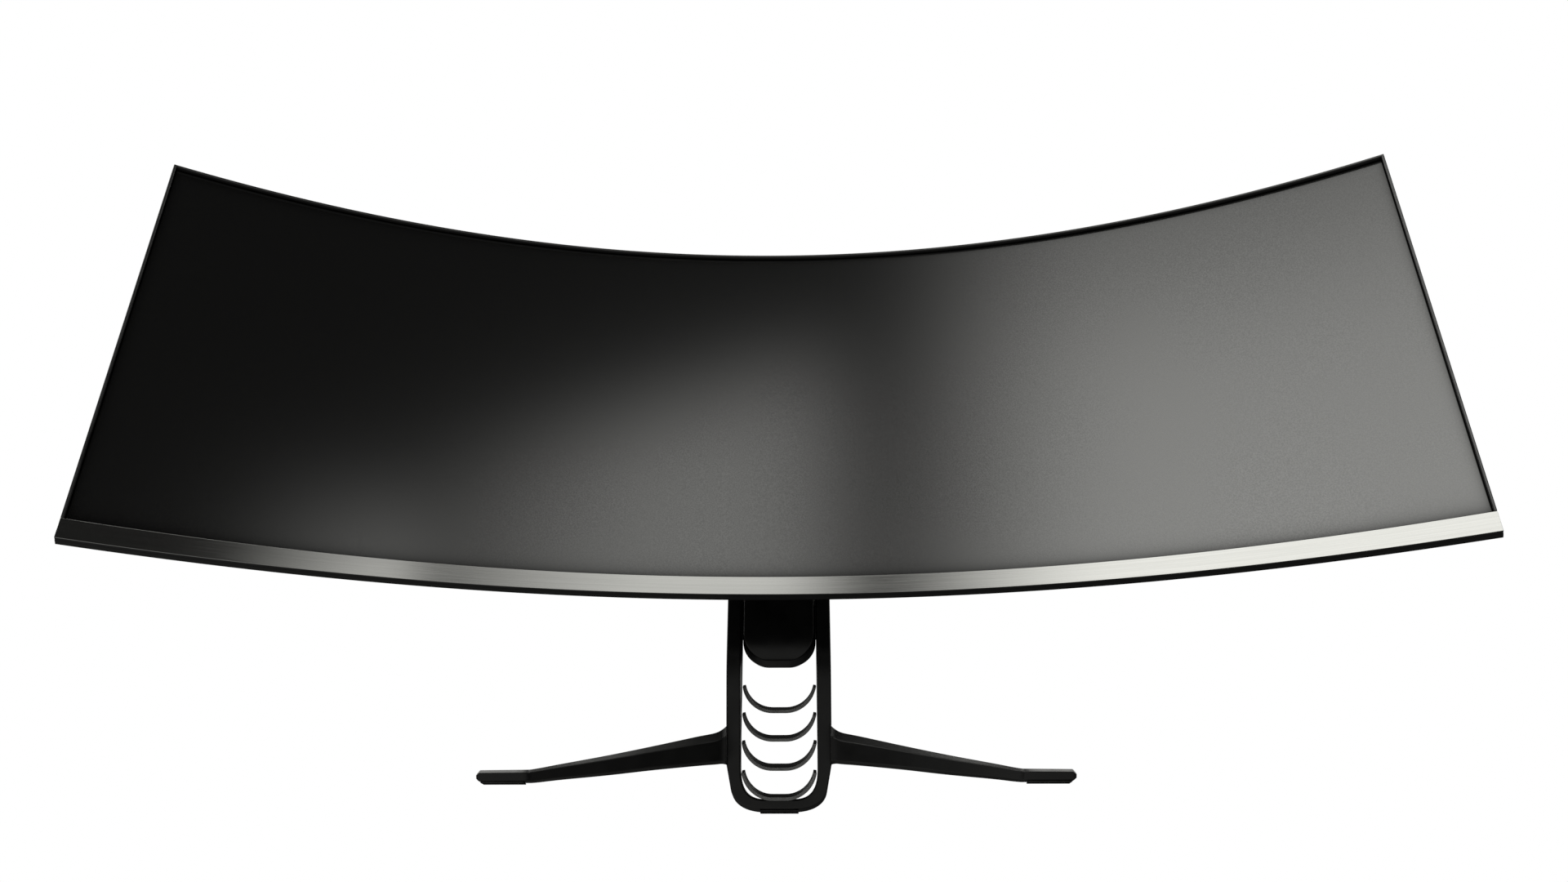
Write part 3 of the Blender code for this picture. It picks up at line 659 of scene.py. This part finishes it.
def build_rear_cover():
    marks = {round(x, 5) for x in HOLE_EDGES}
    marks |= {-x for x in marks}
    count = int(2 * VENT_HALF / VENT_PITCH)
    for k in range(count):
        left = -VENT_HALF + k * VENT_PITCH
        marks |= {round(left, 5), round(left + VENT_SLOT, 5)}
    marks |= {round(x, 5) for x in spread(-HOLE_EDGES[-1], HOLE_EDGES[-1], 8)}
    middle = sorted(marks)
    kept = [middle[0]]
    for x in middle[1:]:
        if x - kept[-1] > 0.0004 or abs(x) in HOLE_EDGES:
            kept.append(x)
    columns = [cover_angle(x) for x in kept]
    slopes = [math.asin(x / CURVE_RADIUS) for x in spread(BULGE_HALF, BULGE_FOOT, 10)]
    fades = [x / CURVE_RADIUS for x in spread(*GROOVE_FADE_IN, 4) + spread(*GROOVE_FADE_OUT, 4)]
    edges = [HALF_ANGLE - inset / CURVE_RADIUS for inset in EDGE_INSETS]
    wing = [angle for angle in spread(slopes[-1], edges[0], 20)[1:]
            if all(abs(angle - fade) > 0.002 for fade in fades)]
    side = sorted(slopes + wing + fades + edges[1:])
    columns = [-angle for angle in reversed(side)] + columns + side
    rows = [*reversed(EDGE_INSETS), 0.012, 0.022]
    rows += spread(0.030, 0.036, 2) + spread(0.036, 0.053, 5)[1:] + [0.0565, 0.060, 0.065, 0.092,
            0.115]
    rows += [0.155, 0.190, 0.225, 0.262] + spread(0.300, 0.306, 2) + spread(0.306, 0.329, 6)[1:]
    rows += [0.332, 0.335, 0.345, 0.360]
    rows += [HEAD_HEIGHT - inset for inset in EDGE_INSETS]
    middles = [GROOVE_START + GROOVE_PITCH * k for k in range(GROOVE_COUNT)]
    rows += [middle + shift for middle in middles for shift in (-GROOVE_HALF, 0.0, GROOVE_HALF)]
    rows = sorted(set(rows))
    cover = grid_piece("rear_shell", columns, rows, cover_inner, cover_outer, cover_skip)
    settle(cover, "head", "spark", "shell_black", "rear_cover")


# ---- column

LEAN = 0.374
LEAN_START_FRONT = 0.1325
LEAN_START_BACK = 0.0630
LEAN_BLEND = 0.018
FOOT_GAP_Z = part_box("column_frame")[0][2]
CORNER_X = 0.012
TAPER_TOP_Z = 0.0425
TAPER = 0.19
OUTER_CORNER_Z = 0.0200
OUTER_CORNER_REACH = 0.0325
OUTER_CORNER_POWER = 2.4
INNER_CORNER_Z = 0.0425
INNER_CORNER_DROP = 0.0322
INNER_CORNER_POWER = 2.8
SILL_RISE = 0.0045
SILL_FADE_Z = 0.05


def leaning(start, height):
    """How far the column has leaned back at a height, with a smooth start."""
    if height >= start + LEAN_BLEND:
        return 0.0
    if height <= start - LEAN_BLEND:
        return LEAN * (start - height)
    return LEAN * (start + LEAN_BLEND - height) ** 2 / (4 * LEAN_BLEND)


def outer_half(height):
    """Half the column's width outside, which narrows and then rounds in at the bottom."""
    below = min(1.0, max(0.0, (OUTER_CORNER_Z - height) / (OUTER_CORNER_Z - FOOT_GAP_Z)))
    fall = 1 - (1 - below ** OUTER_CORNER_POWER) ** (1 / OUTER_CORNER_POWER)
    return COLUMN_HALF - TAPER * max(0.0, TAPER_TOP_Z - height) - OUTER_CORNER_REACH * fall


def column_contours():
    heights = [COLUMN_TOP, 0.30, 0.22] + spread(0.160, 0.0435, 24)
    left = [((-COLUMN_HALF, z), (-OPENING_HALF, z)) for z in heights]
    steps = 32
    for k in range(steps + 1):
        turn = math.pi / 2 * k / steps
        across = abs(math.cos(turn)) ** (2 / INNER_CORNER_POWER)
        down = abs(math.sin(turn)) ** (2 / INNER_CORNER_POWER)
        outer_z = INNER_CORNER_Z - (INNER_CORNER_Z - FOOT_GAP_Z) * down
        inner = (-CORNER_X - (OPENING_HALF - CORNER_X) * across,
                 INNER_CORNER_Z - INNER_CORNER_DROP * down)
        left.append(((-outer_half(outer_z), outer_z), inner))
    left.append(((-CORNER_X / 2, FOOT_GAP_Z), (-CORNER_X / 2, INNER_CORNER_Z - INNER_CORNER_DROP)))
    right = [((-outer[0], outer[1]), (-inner[0], inner[1])) for outer, inner in reversed(left)]
    return left + right


def column_face(start, base_y, sill):
    contours = column_contours()

    def face(station, side):
        x, z = contours[int(station)][int(side)]
        y = base_y + leaning(start, z)
        if side:
            z += sill * max(0.0, 1 - z / SILL_FADE_Z)
        return (x, y, z)

    return face


def build_column():
    count = len(column_contours())
    column = grid_piece("column_loop", list(range(count)), [0, 1],
                        column_face(LEAN_START_FRONT, COLUMN_FRONT_Y, 0.0),
                        column_face(LEAN_START_BACK, COLUMN_BACK_Y, SILL_RISE))
    settle(soften(column, 0.0016, 4, 40), "stand", "powder", "stand_black", "column_frame")


# ---- carriage

TONGUE_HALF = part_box("glide_right")[0][0] - GAP
TONGUE_BOTTOM, TONGUE_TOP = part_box("lift_carriage")[0][2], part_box("lift_carriage")[1][2]
TONGUE_BACK_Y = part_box("lift_carriage")[1][1]
TONGUE_THICKNESS = 0.038
TONGUE_FRONT_Y = TONGUE_BACK_Y - TONGUE_THICKNESS
TONGUE_FLAT = 0.010
TONGUE_CORNER = 0.026
NOSE_HEIGHT = 0.026
NOSE_DEPTH = 0.012
SIDE_ROUND = 0.0016
ARM_HALF = 0.0085
ARM_DROPS = (0.052, 0.0316)
POCKET = ((-0.026, -0.048, 0.295), (0.026, -0.020, 0.355))


def rounded_tongue(half, bottom, top, flat, corner, steps=20):
    """An outline in X and Z with a round lower end."""
    right = []
    for k in range(steps + 1):
        turn = math.pi / 2 * k / steps
        right.append((flat + (half - flat) * math.sin(turn),
                      bottom + corner * (1 - math.cos(turn))))
    right.append((half, top))
    return right + [(-x, z) for x, z in reversed(right)]


def plate(name, outline, front_y, back_y, front_edge=0.0, back_edge=0.0):
    """An outline in X and Z extruded along Y, with rounded front and back edges."""
    made = bmesh.new()
    rings = [[made.verts.new((x, y, z)) for x, z in outline] for y in (front_y, back_y)]
    faces = [made.faces.new(rings[0]), made.faces.new(list(reversed(rings[1])))]
    count = len(outline)
    for k in range(count):
        after = (k + 1) % count
        made.faces.new([rings[0][k], rings[1][k], rings[1][after], rings[0][after]])
    for face, radius in zip(faces, (front_edge, back_edge)):
        if radius:
            bmesh.ops.bevel(made, geom=list(face.edges), offset=radius, segments=5, profile=0.5,
                            affect="EDGES", clamp_overlap=True)
    # The bevel lists its new faces in no fixed order.
    made.verts.index_update()
    by_corners = sorted(made.faces, key=lambda face: sorted(v.index for v in face.verts))
    for index, face in enumerate(by_corners):
        face.index = index
    made.faces.sort()
    return to_piece(name, made)


def tongue_half(z):
    """Half the tongue's width at a height, narrowing round its lower end."""
    share = max(0.0, 1 - (z - TONGUE_BOTTOM) / TONGUE_CORNER)
    return TONGUE_FLAT + (TONGUE_HALF - TONGUE_FLAT) * math.sqrt(max(0.0, 1 - share ** 2))


def tongue_front(share, z):
    """The front face curves back towards the lower end and is rounded along both sides."""
    low = max(0.0, 1 - (z - TONGUE_BOTTOM) / NOSE_HEIGHT)
    nose = NOSE_DEPTH * (1 - math.sqrt(max(0.0, 1 - low ** 2)))
    x = share * tongue_half(z)
    side = edge_rounding(tongue_half(z) - abs(x), SIDE_ROUND)
    return (x, TONGUE_FRONT_Y + nose + side, z)


def build_carriage():
    edge = [0.0, 0.002, 0.006, 0.012, 0.022, 0.035, 0.05, 0.075]
    shares = spread(-0.88, 0.88, 16)
    shares = [-1 + step for step in edge] + shares + [1 - step for step in reversed(edge)]
    rows = [TONGUE_BOTTOM + NOSE_HEIGHT * (1 - math.cos(math.pi / 2 * k / 24)) for k in range(25)]
    rows += spread(rows[-1], TONGUE_TOP, 12)[1:]
    tongue = grid_piece("carriage_tongue", shares, rows, tongue_front,
                        lambda share, z: (share * tongue_half(z), TONGUE_BACK_Y, z))
    arm_low, arm_high = [TILT_Z - drop for drop in ARM_DROPS]
    arm_outline = []
    for k in range(17):
        turn = math.pi * k / 16
        arm_outline.append((ARM_HALF * math.cos(turn), TILT_Y - ARM_HALF * math.sin(turn)))
    arm_outline += [(side * ARM_HALF, TONGUE_FRONT_Y + 0.002) for side in (-1, 1)]
    made = bmesh.new()
    rings = [[made.verts.new((x, y, z)) for x, y in arm_outline] for z in (arm_low, arm_high)]
    made.faces.new(rings[0])
    made.faces.new(list(reversed(rings[1])))
    for k in range(len(arm_outline)):
        after = (k + 1) % len(arm_outline)
        made.faces.new([rings[0][k], rings[1][k], rings[1][after], rings[0][after]])
    arm = to_piece("arm_guide", made)
    pocket = block("pocket_guide", *POCKET, 0.0)
    carve(tongue, arm, operation="UNION")
    carve(tongue, pocket)
    settle(tongue, "carriage", "powder", "stand_black", "lift_carriage")


# ---- ribs

RIB_COUNT = 4
RIB_TOP_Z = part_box("rib_1")[0][2]
RIB_PITCH = RIB_TOP_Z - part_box("rib_2")[0][2]
RIB_DEPTH = 0.020
RIB_HALF = 0.0370
RIB_FLAT = 0.0065
RIB_THICKNESS = 0.0030
RIB_SLOPE = math.tan(math.radians(20.5))
RIB_SWEEP = math.radians(80)


def rib_surface(base, thickness, widening):
    radius = (RIB_HALF - RIB_FLAT) / math.sin(RIB_SWEEP)

    def surface(station, share):
        side = -1 if station < 0 else 1
        turn = RIB_SWEEP * max(0.0, abs(station) - 1)
        x = RIB_FLAT * min(1.0, abs(station)) + (radius - thickness) * math.sin(turn)
        z = base + radius - (radius - thickness) * math.cos(turn)
        wide = 1 + widening * min(1.0, share / 0.5)
        return (side * x * wide, RIB_FRONT_Y + RIB_DEPTH * share,
                z + RIB_DEPTH * share * RIB_SLOPE)

    return surface


def build_ribs():
    stations = spread(-2.0, -1.0, 20) + [-0.5, 0.5] + spread(1.0, 2.0, 20)
    for number in range(RIB_COUNT):
        base = RIB_TOP_Z - number * RIB_PITCH
        lowest = number == RIB_COUNT - 1
        widening = 0.0 if lowest else 0.019
        rib = grid_piece(f"cable_rib_{number + 1}", stations,
                         spread(0.0, 0.75 if lowest else 1.0, 4),
                         rib_surface(base, 0.0, widening),
                         rib_surface(base, RIB_THICKNESS, widening))
        settle(soften(rib, 0.00035, 2), "stand", "rib", "rib_black", f"rib_{number + 1}")


# ---- legs

FOOT_Y = -0.190
FOOT_TIP_X = 0.2475
LEG_SINK = 0.0012


def leg_sections():
    """X, middle Y, half width, lower Z and upper Z of each section, from the root to the tip."""
    return (
        (COLUMN_HALF - LEG_SINK, -0.0370, 0.0152, 0.0410, 0.0757),
        (0.0552, -0.0395, 0.0135, 0.0414, 0.0714),
        (0.0620, -0.0460, 0.0130, 0.0397, 0.0668),
        (0.0780, -0.0615, 0.0130, 0.0359, 0.0605),
        (0.1150, -0.0980, 0.0128, 0.0263, 0.0452),
        (0.1500, -0.1330, 0.0118, 0.0164, 0.0312),
        (0.1840, -0.1670, 0.0105, 0.0074, 0.0184),
        (0.2010, -0.1835, 0.0095, 0.0026, 0.0121),
        (0.2090, FOOT_Y, 0.0088, FOOT_GAP_Z, 0.0105),
        (0.2445, FOOT_Y, 0.0085, FOOT_GAP_Z, 0.0102),
        (FOOT_TIP_X, FOOT_Y, 0.0040, 0.0036, 0.0074),
    )


def leg_ring(x, middle, half, bottom, top):
    tall = top - bottom
    return [
        (x, middle - half * 0.60, bottom),
        (x, middle + half * 0.75, bottom),
        (x, middle + half, bottom + tall * 0.45),
        (x, middle + half * 0.60, top),
        (x, middle - half * 0.55, top),
        (x, middle - half, bottom + tall * 0.66),
    ]


def eased_sections(sections, steps=5):
    """Smooth in-between sections, kept between their neighbours."""
    result = []
    for k in range(len(sections) - 1):
        before = sections[max(0, k - 1)]
        start, end = sections[k], sections[k + 1]
        after = sections[min(len(sections) - 1, k + 2)]
        hard = k >= len(sections) - 3
        for step in range(steps):
            t = step / steps
            section = []
            for a, b, c, d in zip(before, start, end, after):
                if hard:
                    section.append(b + (c - b) * t)
                    continue
                slope_b, slope_c = (c - a) / 2, (d - b) / 2
                value = ((2 * t ** 3 - 3 * t ** 2 + 1) * b + (t ** 3 - 2 * t ** 2 + t) * slope_b
                         + (-2 * t ** 3 + 3 * t ** 2) * c + (t ** 3 - t ** 2) * slope_c)
                section.append(min(max(value, min(b, c)), max(b, c)))
            result.append(tuple(section))
    result.append(sections[-1])
    return result


def build_legs():
    for side, word in ((-1, "left"), (1, "right")):
        made = bmesh.new()
        rings = []
        for section in eased_sections(leg_sections()):
            rings.append([made.verts.new((side * x, y, z)) for x, y, z in leg_ring(*section)])
        made.faces.new(rings[0])
        made.faces.new(list(reversed(rings[-1])))
        for ring, after in zip(rings, rings[1:]):
            for k in range(len(ring)):
                following = (k + 1) % len(ring)
                made.faces.new([ring[k], after[k], after[following], ring[following]])
        leg = to_piece(f"{word}_leg_casting", made, 25)
        settle(soften(leg, 0.0012, 3, 22), "stand", "powder", "stand_black", f"{word}_leg")


# ---- column trim and soles

def build_column_trim():
    low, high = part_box("column_back")
    outline = rounded_tongue(OPENING_HALF - GAP, low[2], high[2], TONGUE_FLAT, TONGUE_CORNER)
    settle(plate("cable_cover", outline, low[1], high[1], 0.0004, 0.0012), "stand", "spark",
           "shell_black",
           "column_back")
    settle(frame_block("column_cap", "column_top_cap", 0.0020, 4), "stand", "spark", "shell_black",
           "column_top_cap")
    for word in ("left", "right"):
        settle(frame_block(f"{word}_guide_rail", f"guide_strip_{word}", 0.0003), "stand", "oiled",
               "sheet_steel", f"guide_strip_{word}")
    for word in ("left", "right", "rear"):
        settle(frame_block(f"{word}_sole", f"foot_pad_{word}", 0.0003), "stand", "rubber",
               "rubber",
               f"foot_pad_{word}")


# ---- buttons

BUTTON_RADIUS = 0.0045
BUTTON_NAMES = ("menu_button_1", "menu_button_2", "menu_button_3", "power_button")


def build_buttons():
    """Dished caps in a softened bezel."""
    holes = []
    for name in BUTTON_NAMES:
        low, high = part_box(name)
        centre = [(low[k] + high[k]) / 2 for k in range(3)]
        half = (high[1] - low[1]) / 2
        edge = 0.0004
        profile = [(BUTTON_RADIUS - edge, -half), (BUTTON_RADIUS, -half + edge),
                   (BUTTON_RADIUS, half - edge),
                   (BUTTON_RADIUS - edge / 3, half - edge / 3), (BUTTON_RADIUS - edge, half),
                   (0.0036, half - 0.0001), (0.0026, half - 0.0004), (0.0013, half - 0.00055),
                   (0.0003, half - 0.0006)]
        cap = turned(f"{name}_cap", centre, (0, 1, 0), profile, 40)
        settle(cap, name, "satin", "rib_black", name)
        holes.append(turned("hole_guide", centre, (0, 1, 0),
                            rod_profile(BUTTON_RADIUS + GAP, 0.020, 0.0), 40))
    bezel = carve(frame_block("button_plate", "button_bezel", 0.0006), *holes)
    settle(bezel, "head", "satin", "rim_black", "button_bezel")


# ---- tilt and swivel hinge

SHAFT_RADIUS = 0.0040
SHAFT_HALF = 0.030
POST_RADIUS = 0.0055
EAR_X = 0.024
EAR_RADIUS = 0.0088
SCREW_HEAD_RADIUS = 0.0038
SCREW_SHANK_RADIUS = 0.0020


def hinge_block(name, low, high, bevel=0.0):
    """A block placed from the tilt axis."""
    return block(name, (low[0], TILT_Y + low[1], TILT_Z + low[2]),
                 (high[0], TILT_Y + high[1], TILT_Z + high[2]),
                 bevel)


def rod(name, centre, axis, radius, length, edge=0.0):
    return turned(name, centre, axis, rod_profile(radius, length, edge))


def build_knuckle():
    axis = (0, TILT_Y, TILT_Z)
    knuckle = rod("hinge_knuckle", (0, TILT_Y, TILT_Z - 0.0240), (0, 0, 1), 0.0100, 0.0140, 0.0007)
    carve(knuckle, hinge_block("lug_guide", (-0.0174, -0.0093, -0.0190), (0.0174, 0.0093, 0.0),
                               0.0006),
          rod("lug_end_guide", axis, (1, 0, 0), 0.0094, 0.0350, 0.0006), operation="UNION")
    carve(knuckle, rod("lug_bore_guide", axis, (1, 0, 0), SHAFT_RADIUS + GAP, 0.06),
          rod("post_bore_guide", (0, TILT_Y, TILT_Z - 0.0270), (0, 0, 1), POST_RADIUS + GAP,
              0.024))
    settle(knuckle, "swivel", "powder", "stand_black", "swivel_knuckle")
    groove, ring, edge = 0.0285, 0.0008, 0.0006
    half = [(SHAFT_RADIUS - edge, SHAFT_HALF), (SHAFT_RADIUS, SHAFT_HALF - edge),
            (SHAFT_RADIUS, groove),
            (SHAFT_RADIUS - edge, groove), (SHAFT_RADIUS - edge, groove - ring),
            (SHAFT_RADIUS, groove - ring)]
    profile = [(radius, -along) for radius, along in half] + list(reversed(half))
    settle(turned("hinge_shaft", axis, (1, 0, 0), profile), "swivel", "steel", "spring_steel",
           "tilt_shaft")
    for word in ("left", "right"):
        low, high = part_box(f"friction_washer_{word}")
        spot = ((low[0] + high[0]) / 2, TILT_Y, TILT_Z)
        washer = turned(f"{word}_washer", spot, (1, 0, 0),
                        tube_profile(0.0088, SHAFT_RADIUS + GAP, high[0] - low[0], 0.0004))
        settle(washer, "swivel", "steel", "spring_steel", f"friction_washer_{word}")
    post = rod("turning_post", (0, TILT_Y, TILT_Z - 0.0235), (0, 0, 1), POST_RADIUS, 0.0150,
               0.0006)
    settle(post, "carriage", "steel", "spring_steel", "swivel_post")


def build_yoke():
    yoke = hinge_block("hinge_yoke", (-0.040, -0.0164, -0.030), (0.040, -0.0134, 0.030), 0.0008)
    ears = []
    for side in (-1, 1):
        middle = side * EAR_X
        ears.append(hinge_block("ear_guide", (middle - 0.0025, -0.0150, -EAR_RADIUS),
                                (middle + 0.0025, 0.0, EAR_RADIUS)))
        ears.append(rod("ear_end_guide", (middle, TILT_Y, TILT_Z), (1, 0, 0), EAR_RADIUS, 0.0049,
                        0.0003))
    carve(yoke, *ears, operation="UNION")
    plate_piece = hinge_block("head_plate", (-0.050, -0.0197, -0.035), (0.050, -0.0167, 0.035),
                              0.0006)
    carve(yoke, rod("shaft_guide", (0, TILT_Y, TILT_Z), (1, 0, 0), SHAFT_RADIUS + GAP, 0.08))
    for number in range(1, 5):
        low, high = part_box(f"yoke_screw_{number}")
        x, z = (low[0] + high[0]) / 2, (low[2] + high[2]) / 2
        for item in (yoke, plate_piece):
            carve(item, rod("bore_guide", (x, TILT_Y - 0.015, z), (0, 1, 0),
                            SCREW_SHANK_RADIUS + GAP, 0.03))
        shank, head = SCREW_SHANK_RADIUS, SCREW_HEAD_RADIUS
        long = high[1] - low[1]
        rise = long - 0.0024
        profile = [(shank - 0.0005, 0.0), (shank, 0.0005), (shank, rise), (head, rise),
                   (head, rise + 0.0009),
                   (head * 0.9, rise + 0.0017), (head * 0.66, rise + 0.0022), (head * 0.3, long)]
        screw = turned(f"pan_screw_{number}", (x, low[1], z), (0, 1, 0), profile, 40)
        deep, reach, slim = high[1] - 0.0012, 0.0019, 0.0004
        carve(screw, block("cross_guide", (x - slim, deep, z - reach),
                           (x + slim, high[1] + 0.001, z + reach), 0.0),
              block("cross_guide", (x - reach, deep, z - slim),
                    (x + reach, high[1] + 0.001, z + slim), 0.0))
        settle(screw, "head", "steel", "spring_steel", f"yoke_screw_{number}")
    settle(yoke, "head", "powder", "stand_black", "tilt_yoke")
    settle(plate_piece, "head", "sheet", "sheet_steel", "mount_plate")


# ---- sockets

# Middle and width of each signal socket.
SOCKETS = ((-0.140, 0.014), (-0.122, 0.014), (-0.103, 0.016), (-0.085, 0.013), (-0.069, 0.009))


def head_box(name, low, high, bevel=0.0):
    """A block placed across the head, behind the screen front and above the head's bottom."""
    return block(name, (low[0], SCREEN_FRONT_Y + low[1], HEAD_BOTTOM + low[2]),
                 (high[0], SCREEN_FRONT_Y + high[1], HEAD_BOTTOM + high[2]), bevel)


def build_sockets():
    """Connector shells with contact tongues, and an inlet with three pins, all facing down."""
    ports = frame_block("port_shells", "port_block", 0.0005)
    for index, (centre, width) in enumerate(SOCKETS):
        half = width / 2
        carve(ports, head_box("socket_guide", (centre - half, 0.0370, 0.0900),
                              (centre + half, 0.0430, 0.1080),
                              0.0008))
        tongue = head_box(f"contact_tongue_{index + 1}", (centre - half * 0.72, 0.0392, 0.1000),
                          (centre + half * 0.72, 0.0405, 0.1085), 0.0002)
        settle(tongue, "head", "gold", "spring_steel")
    settle(ports, "head", "sheet", "sheet_steel", "port_block")
    inlet = frame_block("mains_inlet", "power_inlet", 0.0008)
    carve(inlet, head_box("inlet_guide", (0.0665, 0.0325, 0.0900), (0.0935, 0.0495, 0.1080),
                          0.0016))
    settle(inlet, "head", "spark", "shell_black", "power_inlet")
    for index, x in enumerate((0.0730, 0.0800, 0.0870)):
        rear = 0.0015 if index == 1 else 0.0
        pin = head_box(f"inlet_pin_{index + 1}", (x - 0.0010, 0.0390 + rear, 0.0985),
                       (x + 0.0010, 0.0430 + rear, 0.1085),
                       0.0004)
        settle(pin, "head", "steel", "spring_steel")


# ---- CAD nodes that stay

KEPT_LOOKS = {
    "spark": ("panel_frame", "port_shroud", "inlet_shroud"),
    "film": ("optical_films", "light_guide"),
    "sheet": ("backlight_tray", "chassis_plate", "mount_bracket", "shield_cover"),
    "steel": ("lift_spring", "spring_axle", "spring_strip"),
    "board": ("led_bar", "main_board", "power_board", "button_board"),
    "nylon": ("glide_left", "glide_right"),
    "tape": ("transformer",),
}


def dress_kept_nodes():
    for look, names in KEPT_LOOKS.items():
        for name in names:
            node = frame["nodes"][name]
            node.data.materials.clear()
            node.data.materials.append(LOOKS[look])


# ---- stage, light and camera

def build_stage():
    """A pale floor that shows only from above, so a camera below it still sees the object."""
    made = bmesh.new()
    bmesh.ops.create_grid(made, x_segments=4, y_segments=4, size=12.0)
    floor = to_piece("studio_floor", made)
    g = Graph("pale_floor")
    tone = g.blend(g.band(g.noise(1.5, 3.0), 0.3, 0.7), grey(0.80), grey(0.83))
    g.finish(tone, 0.7)
    clear = g.tree.nodes.new("ShaderNodeBsdfTransparent")
    choose = g.tree.nodes.new("ShaderNodeMixShader")
    side = g.tree.nodes.new("ShaderNodeNewGeometry")
    g.tree.links.new(side.outputs["Backfacing"], choose.inputs[0])
    g.tree.links.new(g.shader.outputs[0], choose.inputs[1])
    g.tree.links.new(clear.outputs[0], choose.inputs[2])
    g.tree.links.new(choose.outputs[0], g.tree.nodes["Material Output"].inputs["Surface"])
    floor.data.materials.append(g.material)
    floor.visible_diffuse = False
    floor.visible_glossy = False


class WorldGraph(Graph):
    """The same short calls on the world's node tree."""

    def __init__(self, world):
        world.use_nodes = True
        self.tree = world.node_tree
        self.place = self.tree.nodes.new("ShaderNodeTexCoord").outputs["Generated"]


def build_light():
    """A white backdrop and soft boxes placed by direction round the object."""
    world = bpy.data.worlds.new("soft_studio")
    bpy.context.scene.world = world
    g = WorldGraph(world)
    parts = g.tree.nodes.new("ShaderNodeSeparateXYZ")
    g.feed(parts.inputs[0], g.place)
    x, y, z = parts.outputs
    degrees = 180 / math.pi
    turn = g.math("MULTIPLY", g.math("ARCTAN2", x, g.math("MULTIPLY", y, -1.0)), degrees)
    rise = g.math("MULTIPLY", g.math("ARCSINE", z), degrees)

    wide_edge = g.math("SUBTRACT", g.math("MULTIPLY", turn, -1.0),
                       g.math("MULTIPLY", g.math("SUBTRACT", rise, 22.0), 0.07))
    wide_box = g.band(wide_edge, 4.1, 13.8)
    wide_box = g.math("MULTIPLY", wide_box,
                      g.math("SUBTRACT", 1.68, g.math("MULTIPLY", rise, 0.018)))
    wide_box = g.math("MULTIPLY", wide_box, g.band(rise, 26.4, 38.4, 1.0, 0.56))

    slant = g.math("ADD", rise, g.math("MULTIPLY", turn, 0.5))
    low_box = g.math("MULTIPLY", g.band(turn, -5.1, -0.8, 0.0, 0.84), g.band(turn, 14.2, 2.2))
    low_box = g.math("MULTIPLY", low_box, g.band(slant, 32.7, 25.1))

    small_box = g.math("MULTIPLY", g.band(turn, 11.1, 12.4, 0.0, 0.9), g.band(turn, 18.5, 11.4))
    small_box = g.math("MULTIPLY", small_box, g.band(rise, 24.1, 16.0))

    side_box = g.band(turn, -28.0, -45.0, 0.0, 0.25)
    side_box = g.math("ADD", side_box, g.band(turn, 32.0, 52.0, 0.0, 0.5))

    front = g.math("ADD", g.math("ADD", wide_box, side_box), g.math("ADD", low_box, small_box))
    front = g.math("MULTIPLY", front, g.math("MULTIPLY", g.band(rise, 10.0, 16.0),
                                             g.band(rise, 75.0, 45.0)))
    away = g.math("ABSOLUTE", turn)
    front = g.math("MULTIPLY", front, g.band(away, 110.0, 85.0))

    top = g.band(rise, 45.0, 75.0, 0.0, 1.1)
    rear = g.math("MULTIPLY", g.band(away, 95.0, 115.0), g.band(away, 165.0, 145.0))
    rear = g.math("MULTIPLY", g.math("MULTIPLY", rear, g.band(rise, 2.0, 20.0)), 2.0)
    floor_glow = g.math("MULTIPLY", g.band(turn, 70.0, 15.0, 0.10, 0.27),
                        g.band(away, 155.0, 110.0, 0.3, 1.0))
    below = g.math("MULTIPLY", g.band(rise, -8.0, -25.0), floor_glow)
    total = g.math("ADD", g.math("ADD", front, top),
                   g.math("ADD", rear, g.math("ADD", below, 0.016)))

    shade = g.tree.nodes["Background"]
    g.feed(shade.inputs["Color"], (1.0, 1.0, 0.962, 1.0))
    g.feed(shade.inputs["Strength"], total)
    white = g.tree.nodes.new("ShaderNodeBackground")
    white.inputs["Color"].default_value = (1, 1, 1, 1)
    path = g.tree.nodes.new("ShaderNodeLightPath")
    choose = g.tree.nodes.new("ShaderNodeMixShader")
    g.tree.links.new(path.outputs["Is Camera Ray"], choose.inputs[0])
    g.tree.links.new(shade.outputs[0], choose.inputs[1])
    g.tree.links.new(white.outputs[0], choose.inputs[2])
    g.tree.links.new(choose.outputs[0], g.tree.nodes["World Output"].inputs["Surface"])
    bpy.context.scene.view_settings.view_transform = "Standard"


CAMERA_PLACE = (0.0186, -1.1009, -0.1326)
CAMERA_RISE = math.radians(26.1225)
CAMERA_TURN = math.radians(0.7304)
CAMERA_LENS = 24.41


def build_camera():
    """The viewer crouches below desk level and looks up at the screen."""
    camera = bpy.data.objects.new("camera", bpy.data.cameras.new("camera"))
    bpy.context.scene.collection.objects.link(camera)
    camera.data.sensor_width = 36.0
    camera.data.lens = CAMERA_LENS
    camera.location = CAMERA_PLACE
    camera.rotation_euler = (math.pi / 2 + CAMERA_RISE, 0.0, CAMERA_TURN)
    bpy.context.scene.camera = camera


build_camera()
build_stage()
build_light()
dress_kept_nodes()
build_front()
build_rear_cover()
build_column()
build_carriage()
build_ribs()
build_legs()
build_column_trim()
build_buttons()
build_knuckle()
build_yoke()
build_sockets()
